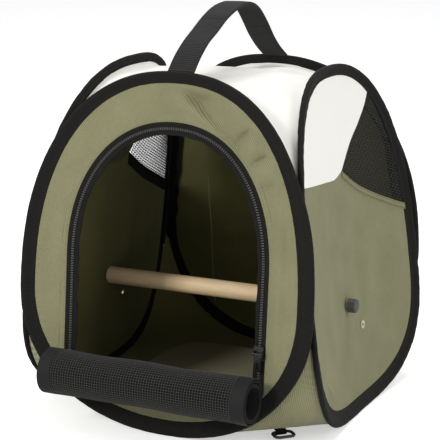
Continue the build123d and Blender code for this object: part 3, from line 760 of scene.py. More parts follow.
@dataclass
class ClothWalls:
    """Olive and cream cloth stretched inside the hoops."""
    cloth: float = CLOTH
    columns: int = 150
    rows: int = 110
    cream_seam: Line = ((5.9, 215.0), (31.9, 238.4), (51.9, 253.4), (69.5, 272.0), (84.0, 300.0))
    cream_foot: Line = ((-150.0, 230.0), (-116.0, 223.4), (-76.0, 217.0), (-35.7, 212.5), (-9.8, 211.0),
                        (5.9, 215.0))
    window_foot: Line = ((5.9, 215.0), (33.7, 199.3), (71.4, 183.4), (105.0, 171.0), (150.0, 156.0))
    cream_end: float = 78.0
    knob: Tuple[float, float] = (-12.3, 99.3)
    eyelet: Tuple[float, float] = (19.4, 73.2)
    hole: float = 2.6
    rays: float = 0.9
    uprights: float = 0.6
    upright_pitch: float = 33.0
    crease: float = 1.5

    def seam(self, across: Array) -> Array:
        """Height of the side wall's seam: the cream patch's foot in front, the window's foot behind."""
        corner = self.cream_foot[-1][0]
        front, behind = smooth_line(self.cream_foot, across), smooth_line(self.window_foot, across)
        return np.where(across < corner, front, behind)

    def pierced(self, shape: Shape) -> Shape:
        """The cloth without its faces in the eyelet's hole."""
        a, b = (shape.uv.reshape(-1, 4, 2).mean(axis=1) - np.array(self.eyelet)).T
        keep = np.hypot(a, b) > self.hole
        return Shape(shape.points, shape.faces[keep], shape.uv.reshape(-1, 4, 2)[keep].reshape(-1, 2))

    def sheet(self, name: str, wall: Wall, low: Array, high: Array, across: Array,
              relief: Callable[..., Array], finish: Cloth, *nodes: str) -> bpy.types.Object:
        """A cloth between two lines over the wall, with its relief dying out at every edge.

        Args:
            name: the piece's name.
            wall: the wall it lies on.
            low, high: the lines' heights at each place across.
            across: places across.
            relief: function of (across, up) that gives the cloth's rise in mm.
            finish: its finish.
            nodes: the nodes it stands for.

        Returns:
            The piece.
        """
        share = np.linspace(0, 1, self.rows)[:, None]
        up = low + (high - low) * share
        x = np.broadcast_to(across, up.shape)
        lowest, highest = wall.column(across)
        edge = np.minimum(up - lowest, highest - up)
        edge = np.minimum(edge, wall.width(up, BAND_SIDE - TUCK) - np.abs(x))
        calm = step(4, 24, edge) * step(4, 26, high - up) * step(4, 20, up - low)
        points = wall.place(x, up, relief(x, up) * calm)
        shape = lattice(points, np.stack([x, up], -1)).facing(wall.faces)
        shape = self.pierced(shape) if wall in SIDES else shape
        piece = dress(shape.piece(name), finish, "bag", *nodes)
        # The inner face gets the darker copy of the cloth: painted shade inside the carrier.
        inside_shade = OLIVE_INSIDE_SHADE if finish is OLIVE else CREAM_INSIDE_SHADE
        wide, tall = float(np.ptp(x)), float(np.ptp(up))
        flat = (round(wide * MM * 1.01, 4), round(tall * MM * 1.01, 4))
        thicken(piece, self.cloth, inside_shade)
        min(shape.area() * MM * MM, flat[0] * flat[1])
        return piece

    def taut(self, seed: int, size: float = 0.7) -> Callable[..., Array]:
        """Relief of a stretched cloth: broad uneven swells and fainter short ones."""
        def relief(x: Array, z: Array) -> Array:
            """Rise at places across and up."""
            return size * (ripple(x, z, seed, 6, 110, 45) + 0.3 * ripple(x, z, seed + 1, 8, 34, 14))
        return relief

    def side_relief(self, seed: int) -> Callable[..., Array]:
        """Relief of a side wall: a taut cloth, drawn in towards the perch's screw by short rays."""
        base = self.taut(seed, 0.6)

        def relief(x: Array, z: Array) -> Array:
            """Rise at places across and up: swells, rays round the knob, upright folds and one crease."""
            a, b = x - self.knob[0], z - self.knob[1]
            far = np.hypot(a, b)
            rays = np.cos(5 * np.arctan2(b, a) + 0.7) * np.exp(-far / 16.0) * step(4, 10, far)
            wave = np.sin(2 * math.pi * (x + 0.25 * (z - 120) + 9 * np.sin(z / 40)) / self.upright_pitch)
            uneven = 0.5 + 0.5 * ripple(x, z, 45, 4, 160, 90)
            upright = self.uprights * wave * hump(z, 130, 70) * uneven
            ridge = (x + 84) * 0.77 + (z - 42) * 0.64
            crease = self.crease * hump(ridge, 0, 2.4) * hump(z, 42, 24)
            return (base(x, z) + self.rays * rays + upright + crease) * step(3, 9, far)
        return relief

    def make(self) -> None:
        """Rear panel, both side walls' cloths."""
        x = REAR.run(self.columns)
        low, high = REAR.column(x)
        self.sheet("rear_cloth", REAR, low, high, x, self.taut(31), OLIVE, "rear_panel")
        for wall in SIDES:
            name = wall.side.value
            x = wall.run(self.columns)
            low, high = wall.column(x)
            self.sheet(name + "_lower_cloth", wall, low, np.minimum(np.maximum(self.seam(x), low), high), x,
                       self.side_relief(41), OLIVE, name + "_lower_panel")
            corner, edge = self.cream_foot[-1][0], wall.cloth_half * 0.999
            turn = np.linspace(0, math.pi / 2, self.columns)
            x = -edge + (edge + self.cream_end) * (1 - np.cos(turn))
            low, high = wall.column(x)
            foot = np.where(x < corner, smooth_line(self.cream_foot, x), smooth_line(self.cream_seam, x))
            self.sheet(name + "_cream_cloth", wall, np.minimum(foot, high), high, x, self.taut(51, 0.4),
                       CREAM, name + "_cream_patch")


# ---------------------------------------------------------------- front and doorway

@dataclass
class Doorway:
    """Front cloth round the arched opening, with its zip."""
    half: float = 96.0
    level: float = 150.0
    top: float = 268.0
    power: float = 2.15
    sill: float = 52.0
    tape_wide: float = 11.0
    teeth_inset: float = 5.5
    tooth_pitch: float = 2.1
    tape: float = 0.8
    cloth: float = CLOTH
    bend: float = 330.0
    swell: float = 1.8
    gather: float = 8.5
    crease: float = 5.5
    wrinkle: float = 1.6
    upright: float = 2.0

    def arch(self, share: Array, inset: Array) -> Tuple[Array, Array]:
        """Place on the arch: a straight leg, half an oval, a straight leg, at an inset.

        Args:
            share: 0 at the foot of the left leg to 1 at the foot of the right one, by length.
            inset: mm toward the opening.

        Returns:
            Places across and up.
        """
        leg, bend = self.level - self.sill, self.bend
        run = share * (2 * leg + bend)
        turn = math.pi * (1 - np.clip((run - leg) / bend, 0, 1))
        c, s = np.cos(turn), np.sin(turn)
        across = (self.half - inset) * np.sign(c) * np.abs(c) ** (2 / self.power)
        rise = (self.top - inset - self.level) * np.abs(s) ** (2 / self.power)
        falling = np.where(run > leg + bend, self.sill + 2 * leg + bend - run, self.level + rise)
        return across, np.where(run < leg, self.sill + run, falling)

    def even(self, count: int, inset: float) -> Array:
        """Shares that are evenly spaced along the arch at one inset."""
        fine = np.linspace(0, 1, 4001)
        run = lengths(np.stack(self.arch(fine, inset), -1))
        return np.interp(np.linspace(0, run[-1], count), run, fine)

    def span(self, inset: float) -> float:
        """Length of the arch at one inset, in mm."""
        return float(lengths(np.stack(self.arch(np.linspace(0, 1, 2001), inset), -1))[-1])

    def relief(self, x: Array, z: Array, angle: Array, share: Array, rim: Array) -> Array:
        """Rise of the front cloth in mm.

        Broad swells everywhere, then folds that gather toward the hoop's upper right, one sharp crease
        across them, wrinkles above the arch and upright folds beside the right leg.

        Args:
            x, z: places across and up.
            angle: bearing from the doorway's middle.
            share: 0 at the doorway to 1 at the hoop.
            rim: distance to the hoop along the ray.

        Returns:
            The rise at each place.
        """
        swell = self.swell * ripple(x, z, 61, 7, 90, 30)
        folds = np.abs(np.sin(angle * 13 + 1.6 * share + 0.9 * np.sin(angle * 7))) ** 0.6 - 0.7
        gather = self.gather * hump(angle, 1.0, 0.34) * folds * hump(rim, 20, 20)
        off = (x - 3.3) * 0.758 + (z - 301) * 0.653 + 2.2 * np.sin(z / 9.0)
        crease = self.crease * hump(angle, 1.22, 0.36, 4) * np.tanh(off / 2.4) * hump(off, 0, 17)
        wrinkle = self.wrinkle * np.sin((z - 250) / 4.2 + x / 30) * hump(z, 278, 16) * hump(x, 18, 26)
        beside = self.upright * hump(z, 150, 70) * step(96, 104, x)
        return swell + gather - crease + wrinkle + beside * np.sin(x / 3.4 + 0.02 * z + np.sin(z / 45))

    def front_cloth(self) -> bpy.types.Object:
        """Front cloth on rays from the doorway's edge to the hoop, gathered toward the hoop's upper right."""
        centre = np.array([0.0, 140.0])
        rays, rings = 720, 36
        angle = 2 * math.pi * np.arange(rays + 1) / rays - math.pi
        shares = self.even(1201, 0.0)
        inner = np.stack(self.arch(shares, 0.0), -1)
        sill = np.stack([np.linspace(self.half, -self.half, 401)[1:-1], np.full(399, self.sill)], -1)
        inner = np.concatenate([inner, sill])
        hoop = np.stack(FRONT.outline(np.linspace(0, 2 * math.pi, 2401)[:-1], np.array(1.0), TUCK), -1)

        def reach(line: Array) -> Array:
            """How far a closed line lies from the middle along each ray."""
            away = line - centre
            bearing = np.arctan2(away[:, 1], away[:, 0])
            order = np.argsort(bearing)
            return np.interp(angle, bearing[order], np.hypot(*away[order].T), period=2 * math.pi)

        near, far = reach(inner), reach(hoop)
        share = np.linspace(0, 1, rings)[:, None]
        away = near + (far - near) * share
        x, z = centre[0] + away * np.cos(angle), centre[1] + away * np.sin(angle)
        rim = (far - near) * (1 - share)
        calm = step(0, 14, away - near) * step(3, 16, rim)
        relief = self.relief(x, z, angle, share, rim) * calm
        points = FRONT.place(x[:, :-1], z[:, :-1], relief[:, :-1])
        shape = lattice(points, np.stack([x, z], -1), round_columns=True).facing(FRONT.faces)
        piece = dress(shape.piece("front_cloth"), OLIVE, "bag", "front_panel")
        # The inner face gets the darker olive copy: painted shade inside the carrier.
        thicken(piece, self.cloth, OLIVE_INSIDE_SHADE)
        shape.area() * MM * MM
        return piece

    def zip_tape(self) -> bpy.types.Object:
        """Tape inside the arch, its free edge slightly wavy."""
        share = self.even(420, 5.0)
        inset = np.linspace(-2.5, self.tape_wide, 16)
        run = np.linspace(0, self.span(5.0), 420)
        wave = 0.35 * ripple(run, run * 0, 71, 6, 40, 9)[:, None] * step(4, 11, inset)[None]
        x, z = self.arch(share[:, None], inset[None] + wave)
        lift = 0.3 * ripple(run, run * 0, 72, 6, 46, 12)[:, None] * step(6, 11, inset)[None]
        out = -0.55 + 0.5 * step(-2.5, 2.5, inset)[None] + lift
        points = FRONT.place(x, z, out)
        u, v = np.broadcast_arrays(run[:, None], inset[None])
        shape = lattice(points, np.stack([u, v], -1)).facing(FRONT.faces)
        piece = dress(shape.piece("zip_tape_cloth"), TAPE, "bag", "zip_tape")
        thicken(piece, self.tape)
        return piece

    def along_arch(self, shares: Array, inset: float, out: float) -> Tuple[Array, Array]:
        """Centres and axes (run, across, outward) of things set along the arch."""
        x, z = self.arch(shares, inset)
        centres = FRONT.place(x, z, out)
        ahead = FRONT.place(*self.arch(np.clip(shares + 1e-4, 0, 1), inset), out)
        behind = FRONT.place(*self.arch(np.clip(shares - 1e-4, 0, 1), inset), out)
        run = ahead - behind
        run /= np.linalg.norm(run, axis=1, keepdims=True)
        normal = np.stack([-2 * FRONT.bow * x / FRONT.half ** 2, np.full_like(x, -1.0),
                           np.full_like(x, FRONT.lean)], -1)
        normal /= np.linalg.norm(normal, axis=1, keepdims=True)
        side = np.cross(normal, run)
        return centres, np.stack([run, side, normal], 1)

    def teeth(self) -> bpy.types.Object:
        """Row of small crowned teeth along the tape."""
        count = int(self.span(self.teeth_inset) / self.tooth_pitch)
        shares = self.even(count, self.teeth_inset)[5:-5]
        centres, axes = self.along_arch(shares, self.teeth_inset, self.tape / 2)
        shape = stamp(pillow(1.15, 2.4, 1.2), centres, axes)
        return dress(shape.piece("zip_chain", smooth=False), TOOTH, "bag", "zip_teeth")

    def stitches(self) -> bpy.types.Object:
        """Two rows of stitches beside the doorway's edge."""
        rows = []
        for inset in (-1.6, -5.0):
            count = int(self.span(inset) / 3.0)
            centres, axes = self.along_arch(self.even(count, inset)[1:-1], inset, self.cloth / 2)
            rows.append(stamp(pillow(2.1, 0.55, 0.3), centres, axes))
        return dress(rows[0].plus(*rows[1:]).piece("front_cloth_stitches", smooth=False), THREAD_OLIVE, "bag")

    def make(self) -> None:
        """Cloth, zip and the metal pieces on it."""
        self.front_cloth()
        self.zip_tape()
        self.teeth()
        self.stitches()
        for node in ("zip_stops", "zip_slider", "zip_puller"):
            repaint(node, DARK_METAL)


# ---------------------------------------------------------------- top and bottom

@dataclass
class StarCloths:
    """Top and bottom cloths, each spread between four hoop arcs."""
    top_corner: float = 226.0
    foot_corner: float = 108.0
    rest: float = 3.0
    sewn: float = 9.0
    sewn_low: float = 4.0
    cloth: float = CLOTH
    count: int = 121
    clear: float = 0.5

    def arc(self, wall: Wall, share: Array, level: float, upper: bool) -> Array:
        """One hoop's arc from corner to corner, a little inside its outer edge."""
        power = wall.round_top if upper else wall.round_foot
        inset = self.sewn if upper else self.sewn_low
        span = (wall.top - inset if upper else wall.foot + inset) - wall.level
        half = wall.half - inset
        full = half * (1 - abs((level - wall.level) / span) ** power) ** (1 / power)
        height = wall.level + span * (1 - np.abs(share * full / half) ** power) ** (1 / power)
        across = share * full
        return wall.spot(wall.depth(across, height) - (BAND_DEPTH / 2 - 1.0), across, height)

    def grid(self, level: float, upper: bool) -> Tuple[Array, Array, Array]:
        """Points of the cloth: each hoop's arc weighs by its nearness squared.

        Returns:
            The points, and the shares from left to right and from front to rear.
        """
        line = np.linspace(0.0001, 0.9999, self.count)
        s, t = np.meshgrid(line, line, indexing="ij")
        total, weights = 0.0, 0.0
        for wall, away, spread in ((FRONT, t, s), (REAR, 1 - t, s), (LEFT, s, t), (RIGHT, 1 - s, t)):
            weight = 1 / away ** 2
            total = total + self.arc(wall, 2 * spread - 1, level, upper) * weight[..., None]
            weights = weights + weight
        points = total / weights[..., None]
        back = self.clear + self.cloth / 2
        for axis, wall in ((0, RIGHT), (1, FRONT)):
            most = wall.depth(np.abs(points[..., 1 - axis]), points[..., 2]) - back
            points[..., axis] = np.clip(points[..., axis], -most, most)
        return points, s, t

    def cloth_piece(self, name: str, node: str, points: Array, finish: Cloth, way: int) -> bpy.types.Object:
        """The cloth as a sheet sewn into the four hoops."""
        shape = lattice(points, points[..., :2].copy()).facing((0, 0, way))
        piece = dress(shape.piece(name), finish, "bag", node)
        flat = tuple(round(float(np.ptp(points[..., axis])) * MM * 1.04, 4) for axis in (0, 1))
        # The inner face gets the darker copy of the cloth: painted shade inside the carrier.
        thicken(piece, self.cloth, OLIVE_INSIDE_SHADE if finish is OLIVE else CREAM_INSIDE_SHADE)
        min(shape.area() * MM * MM, flat[0] * flat[1])
        return piece

    def make(self) -> None:
        """Cream top with slack folds, olive underside with a tuck in each corner."""
        points, s, t = self.grid(self.top_corner, True)
        calm = np.clip(16 * s * (1 - s) * t * (1 - t), 0, 1) ** 0.5
        x, y = points[..., 0], points[..., 1]
        fold = 1.6 * hump(y - 0.25 * x, -88, 7) - 1.2 * hump(y - 0.32 * x, -70, 9)
        swell = 1.1 * ripple(x, y, 81, 6, 120, 50) + 0.35 * ripple(x, y, 82, 8, 40, 18)
        points[..., 2] += calm * (swell + fold)
        self.cloth_piece("top_cloth", "top_panel", points, CREAM, 1)
        points, s, t = self.grid(self.foot_corner, False)
        hold = (16 * s * (1 - s) * t * (1 - t)) ** 0.4
        points[..., 2] += 0.75 * (self.rest - points[..., 2]) * hold + self.cloth / 2
        x, y = points[..., 0], points[..., 1]
        near = step(95, 125, np.minimum(np.abs(x), np.abs(y)))
        tuck = 0.8 * near * np.sin((np.abs(x) - np.abs(y)) / 2.6) * step(0, 0.3, np.clip(hold, 0, 1))
        lift = 0.5 * hold * (1 + 0.5 * ripple(x, y, 91, 6, 90, 30))
        points[..., 2] += np.maximum(lift, 0) + np.maximum(tuck, -0.8)
        self.cloth_piece("bottom_cloth", "bottom_panel", points, OLIVE, -1)


# ---------------------------------------------------------------- windows

@dataclass
class Windows:
    """Net windows in the rear upper part of both sides, with their hems."""
    walls: ClothWalls
    pitch: float = 2.7
    thread: float = 0.40
    flat: Tuple[float, float] = (0.116, 0.126)
    hem_wide: float = 6.0
    tape_wide: float = 12.0
    rest: float = 0.45

    def ends(self, wall: Wall, rise: Array) -> Tuple[Array, Array]:
        """Where rows at heights above the window's foot leave the cream seam and reach the hoop."""
        line = np.linspace(self.walls.window_foot[0][0], 122.0, 1500)
        foot = smooth_line(self.walls.window_foot, line)
        seam = np.where(line < 84.0, smooth_line(self.walls.cream_seam, line), 999.0) - foot
        roof = np.maximum.accumulate((wall.column(line)[1] - foot)[::-1])[::-1]
        return np.interp(rise, seam, line), np.interp(-rise, -roof, line)

    def net(self, wall: Wall) -> bpy.types.Object:
        """Rows along the foot and upright columns; rows swing by half cells, so cells are six-sided."""
        foot = self.walls.window_foot
        stations = np.linspace(0, 1, 150)
        rows = np.arange(2.0, 120.0, self.pitch)
        start, end = self.ends(wall, rows)
        keep = end - start > 4
        rows, start, end = rows[keep, None], start[keep, None], end[keep, None]
        y = start + (end - start) * stations[None]
        number = np.arange(len(rows))[:, None]
        swing = 0.22 * self.pitch * np.sin(math.pi * y / self.pitch + math.pi * number)
        z = smooth_line(foot, y) + rows + swing
        shapes = [self.strand(wall, y, z, np.array([0.0, 0.0, 1.0]))]
        columns = np.arange(foot[0][0] + 1.5, 124, self.pitch)[:, None]
        low = smooth_line(foot, columns)
        high = np.minimum(np.where(columns < 78, smooth_line(self.walls.cream_seam, columns), 999),
                          wall.column(columns)[1])
        keep = (high - low > 4)[:, 0]
        columns, low, high = columns[keep], low[keep], high[keep]
        z = low + (high - low) * np.linspace(0, 1, 60)[None]
        shapes.append(self.strand(wall, np.broadcast_to(columns, z.shape), z, np.array([0.0, 1.0, 0.0])))
        shape = shapes[0].plus(shapes[1])
        side = wall.side.value
        piece = dress(shape.piece(side + "_net"), NET, "bag", side + "_mesh_window")
        line = np.linspace(foot[0][0], 121.0, 400)
        roof = np.where(line < 78, smooth_line(self.walls.cream_seam, line), 999)
        roof = np.minimum(roof, wall.column(line)[1])
        area = float(((roof - smooth_line(foot, line)) * (line[1] - line[0])).sum()) * MM * MM
        return piece

    def strand(self, wall: Wall, y: Array, z: Array, side: Array) -> Shape:
        """Threads over the wall through rows of places."""
        sag = 0.8 * ripple(y, z, 101, 5, 90, 35)
        paths = wall.place(y, z, sag * step(150, 175, z))
        thin = self.thread * (1.0 if side[2] else 0.75)
        return threads(paths, wall.faces * thin, side * thin)

    def along_foot(self, wall: Wall) -> Tuple[Place, Array]:
        """Place function for tapes that hang from the window's foot, and the run between its ends."""
        foot = self.walls.window_foot

        def place(run: Array, across: Array, out: Array) -> Array:
            """Points at places along the foot, below it and out of the wall."""
            return wall.place(run, smooth_line(foot, run) - across, out)

        return place, np.linspace(foot[0][0] - 1.0, 119.0, 90)

    def hem(self, wall: Wall) -> None:
        """Olive hem outside with two rows of stitches, black tape inside."""
        side = wall.side.value
        place, run = self.along_foot(wall)
        hem = ribbon(place, run, self.hem_wide, 0.9, self.rest + 0.5)
        dress(hem.piece(side + "_hem"), OLIVE, "bag", side + "_hem_tape")
        tape = ribbon(place, run, self.tape_wide, 0.9, -self.rest - 0.5)
        dress(tape.piece(side + "_window_binding"), TAPE, "bag", side + "_window_tape")
        rows = []
        for across in (1.3, 4.9):
            y = np.arange(run[0] + 3, run[-1] - 2, 3.4)
            centres, ahead = (place(at, across, self.rest + 0.92) for at in (y, y + 0.1))
            way = (ahead - centres) / np.linalg.norm(ahead - centres, axis=1, keepdims=True)
            aside = np.cross(np.broadcast_to(wall.faces, way.shape), way)
            axes = np.stack([way, aside, np.cross(way, aside)], 1)
            rows.append(stamp(pillow(2.3, 0.6, 0.3), centres, axes))
        dress(rows[0].plus(rows[1]).piece(side + "_hem_stitches", smooth=False), STITCH, "bag")

    def make(self) -> None:
        """Both windows."""
        for wall in SIDES:
            self.net(wall)
            self.hem(wall)


# ---------------------------------------------------------------- rolled door

@dataclass
class DoorRoll:
    """Net door wound up on the sill, with a smooth band at each end."""
    radius: float = 20.5
    half: float = 97.0
    end_band: float = 12.0
    level: float = 52.0
    sheet: float = 1.1
    pitch: float = 2.0
    turns: float = 3.25
    gap: float = 0.6
    cell: float = 2.4
    thread: float = 0.2
    tail: float = 10.0
    tail_half: float = 76.0
    tail_level: float = 40.7

    def centre(self) -> Tuple[float, float]:
        """Middle of the roll in front of the hoop."""
        face = FRONT.depth(np.array(self.half), np.array(self.level)) + BAND_DEPTH / 2
        return float(-face - self.gap - self.radius), self.level

    def point(self, x: Array, angle: Array, offset: Array) -> Array:
        """A place on the spiral: the radius falls by one pitch a turn, with slight waves along the roll."""
        y, z = self.centre()
        slack = 0.35 * ripple(x, angle * 20, 111, 6, 120, 40) - 0.5 * (1 - (x / self.half) ** 2)
        r = self.radius - offset - self.pitch * angle / (2 * math.pi) + np.minimum(slack, 0)
        return np.stack([x, y + r * np.cos(angle), z + r * np.sin(angle)], -1)

    def wound(self, start: float, end: float, stations: int, thick: float, lift: float) -> Shape:
        """A stretch of the wound sheet between two places along the roll."""
        steps = 48 * int(math.ceil(self.turns))
        angle = np.linspace(0, 2 * math.pi * self.turns, steps + 1)
        ring = np.concatenate([angle, angle[::-1]])
        offset = np.concatenate([np.zeros(steps + 1), np.full(steps + 1, thick)]) - lift
        x = np.linspace(start, end, stations)
        points = self.point(*np.broadcast_arrays(x[:, None], ring[None], offset[None]))
        around = np.concatenate([ring * 17, [0.0]])
        return band_shape(points, x - start, around, ends=True)

    def screen(self) -> Shape:
        """Threads of the net on the roll's outer turn, lengthwise and round it."""
        edge, thin = self.half - self.end_band + 1, self.thread
        turn = np.linspace(0.25, 2 * math.pi - 0.02, 64)
        x = np.arange(-edge, edge, self.cell)
        hoops = self.point(*np.broadcast_arrays(x[:, None], turn[None], np.array(0.0)))
        out = np.stack([np.zeros_like(turn), np.cos(turn), np.sin(turn)], -1)
        shape = threads(hoops, out[None] * thin, np.array([1.0, 0, 0]) * thin)
        rows = np.arange(0.25, 2 * math.pi - 0.02, self.cell / self.radius)
        line = np.linspace(-edge, edge, 70)
        long = self.point(*np.broadcast_arrays(line[None], rows[:, None], np.array(0.0)))
        out = np.stack([np.zeros_like(rows), np.cos(rows), np.sin(rows)], -1)[:, None]
        side = np.stack([np.zeros_like(rows), -np.sin(rows), np.cos(rows)], -1)[:, None]
        return shape.plus(threads(long, out * thin, side * thin))

    def make(self) -> None:
        """Net part, end bands and the strip that joins the roll to the cloth."""
        edge = self.half - self.end_band
        body = self.wound(-edge, edge, 60, self.sheet, -0.25)
        near = self.centre()[0] + self.radius

        def strip(run: Array, across: Array, out: Array) -> Array:
            """Points from the roll's rear to the hoop, under the sill."""
            depth = -FRONT.depth(run, self.tail_level + 0 * run) - self.sheet
            return np.stack([run, near + (depth - near) * across / self.tail, self.tail_level + out], -1)

        tail = ribbon(strip, np.linspace(-self.tail_half, self.tail_half, 60), self.tail, 1.2)
        # The wound sheet and the strip under the sill are near black as painted shade, and the outer threads
        # are lighter as painted light.
        sheet = dress(body.plus(tail).piece("door_sheet"), NET_SHADED, "door", "door_roll")
        screen = dress(self.screen().piece("door_screen"), NET_LIT, "door")
        spans = ((-self.half, -edge), (edge, self.half))
        bands = [self.wound(a, b, 12, self.sheet + 0.1, 0.25) for a, b in spans]
        ends = dress(bands[0].plus(bands[1]).piece("door_end_bands"), BAND_CLOTH, "door",
                     "door_roll_end_bands")


# ---------------------------------------------------------------- small pieces

@dataclass
class CornerTapes:
    """Folded tapes down the four inner corners."""
    low: float = 96.0
    high: float = 230.0
    leg: float = 11.0
    thick: float = 0.8

    def place(self, end: Wall, sign: int, seed: int) -> Place:
        """Place function of the tape between a side wall and the end wall: the corner is where both meet."""
        near = BAND_DEPTH / 2 + SEAM_GAP + self.thick / 2
        away = -1 if end is FRONT else 1

        def place(run: Array, across: Array, out: Array) -> Array:
            """Points at heights, across the fold and into the cabin."""
            x, y = np.full_like(run, RIGHT.reach), np.full_like(run, end.reach)
            for _ in range(8):
                x = RIGHT.depth(np.minimum(y, RIGHT.half), run) - near
                y = end.depth(np.minimum(x, end.half), run) - near
            ragged = 0.7 * ripple(run, across * 0, seed, 6, 30, 8)
            w = (across - self.leg) * (1 + ragged / self.leg)
            on_side, on_end = np.minimum(w, 0), np.maximum(w, 0)
            px = np.where(w < 0, RIGHT.depth(y + on_side, run) - near - out, x - on_end)
            py = np.where(w < 0, y + on_side, end.depth(x - on_end, run) - near - out)
            return np.stack([sign * px, away * py, run], -1)

        return place

    def make(self) -> None:
        """One tape a corner: half its width lies on the side wall, half on the front or rear one."""
        run = np.linspace(self.low, self.high, 90)
        for seed, end in ((121, FRONT), (122, REAR)):
            for sign, name in ((1, "right"), (-1, "left")):
                shape = ribbon(self.place(end, sign, seed), run, 2 * self.leg, self.thick, 0.0, 24)
                corner = end.side.value + "_" + name
                dress(shape.piece(corner + "_corner_strip"), TAPE, "bag", corner + "_corner_tape")


@dataclass
class RearSeam:
    """Pinched seam down the inside of the rear cloth."""
    across: float = -79.0
    wide: float = 1.7
    low: float = 38.0
    high: float = 175.0

    def make(self) -> None:
        """A narrow ridge, with its end turned over at the top."""
        def place(run: Array, across: Array, out: Array) -> Array:
            """Points at heights, across the ridge and into the cabin."""
            x = self.across + across - self.wide / 2 + 0.5 * ripple(run, across * 0, 131, 4, 90, 40)
            return REAR.place(x, run, -0.45 - out - 0.5 * step(self.high - 14, self.high, run))

        shape = ribbon(place, np.linspace(self.low, self.high, 80), self.wide, 0.9, 0.4)
        dress(shape.piece("rear_seam"), OLIVE, "bag", "rear_seam_tape")


@dataclass
class Handle:
    """Webbing strap over the top, sewn to the front and the rear hoop."""
    middle: float = 2.0
    wide: float = 25.0
    thick: float = 2.4
    route: Line = ((-98.5, 309.3), (-87.0, 320.0), (-73.0, 330.0), (-52.0, 339.5), (-29.0, 349.5),
                   (-6.0, 356.5), (16.0, 357.8), (36.0, 351.0), (52.0, 338.5), (67.0, 324.0), (83.0, 311.5),
                   (99.3, 302.0))
    stitch_at: float = -36.0
    turning: Tuple[float, float] = (0.3095, 0.3250)

    def frame_at(self, y: Array) -> Tuple[Array, Array, Array]:
        """Height, and the run and outward directions in the YZ plane, at places along Y."""
        height = smooth_line(self.route, y)
        slope = (smooth_line(self.route, y + 0.2) - smooth_line(self.route, y - 0.2)) / 0.4
        size = np.sqrt(1 + slope ** 2)
        run = np.stack([0 * y, 1 / size, slope / size], -1)
        out = np.stack([0 * y, -slope / size, 1 / size], -1)
        return height, run, out

    def make(self) -> None:
        """The strap, slightly cupped and twisted, and a row of stitches across it."""
        def place(run: Array, across: Array, out: Array) -> Array:
            """Points along the strap, across it and out of it."""
            height, _, normal = self.frame_at(run)
            u = (across - self.wide / 2) / (self.wide / 2)
            free = step(-98, -70, run) * (1 - step(70, 99, run))
            lift = out + free * (0.5 * (1 - u ** 2) + 0.35 * ripple(run, across, 141, 5, 80, 30))
            x = self.middle + across - self.wide / 2 + 0.4 * free * ripple(run, 0 * run, 142, 4, 120, 60)
            return np.stack([x, run, height], -1) + normal * lift[..., None]

        run = np.linspace(self.route[0][0], self.route[-1][0], 160)
        shape = ribbon(place, run, self.wide, self.thick, 0.0, 22)
        strap = shape.piece("handle_strap")
        dress(strap, WEBBING, "", "handle", "handle_front_root", "handle_rear_root")
        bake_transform(strap)
        across = np.arange(3.0, self.wide - 2, 3.0)
        rows = []
        for y in (self.stitch_at, self.stitch_at + 4):
            where = np.full_like(across, y)
            centres = place(where, across, np.full_like(across, self.thick / 2 - 0.05))
            _, run, out = self.frame_at(where)
            side = np.tile([1.0, 0.0, 0.0], (len(across), 1))
            rows.append(stamp(pillow(2.2, 0.7, 0.35), centres, np.stack([side, run, out], 1)))
        dress(rows[0].plus(rows[1]).piece("handle_stitches", smooth=False), THREAD_BLACK, "handle")


@dataclass
class FloorBoard:
    """Stiff board in a cloth cover, loose on the bottom cloth."""
    half: float = 92.0
    thick: float = 3.0
    rest: float = 6.8
    power: float = 6.05

    def make(self) -> None:
        """Rounded square |x/a|^p + |y/a|^p = 1, from its underside's middle round the edge to its top's."""
        turn = 2 * math.pi * np.arange(240) / 240
        c, s = np.cos(turn), np.sin(turn)
        reach = (np.abs(c) ** self.power + np.abs(s) ** self.power) ** (-1 / self.power)
        edge = np.linspace(-math.pi / 2, math.pi / 2, 9)
        flat = np.array([0.004, 0.2, 0.4, 0.6, 0.8, 0.92])
        inward = self.half - self.thick / 2
        rounding = inward + self.thick / 2 * np.cos(edge)
        radius = np.concatenate([flat * inward, rounding, (flat * inward)[::-1]])
        level = np.concatenate([np.zeros(6), self.thick / 2 * (1 + np.sin(edge)), np.full(6, self.thick)])
        away = reach[:, None] * radius[None]
        x, y = away * c[:, None], away * s[:, None]
        slack = -0.12 * (1 + ripple(x, y, 151, 6, 100, 40))
        slack = np.where(level[None] > self.thick / 2, slack, 0) * (radius[None] < inward)
        z = self.rest + level[None] + slack
        points = np.stack([x, y, z], -1)
        around = np.concatenate([radius[:-1], radius[-1:] + 1, [0.0]])
        shape = band_shape(points, np.append(turn, 2 * math.pi) * 90, around, ends=False)
        shape.uv = points.reshape(-1, 3)[shape.faces.reshape(-1)][:, :2].copy()
        dress(shape.piece("board_cover"), COVER, "board", "floor_board")


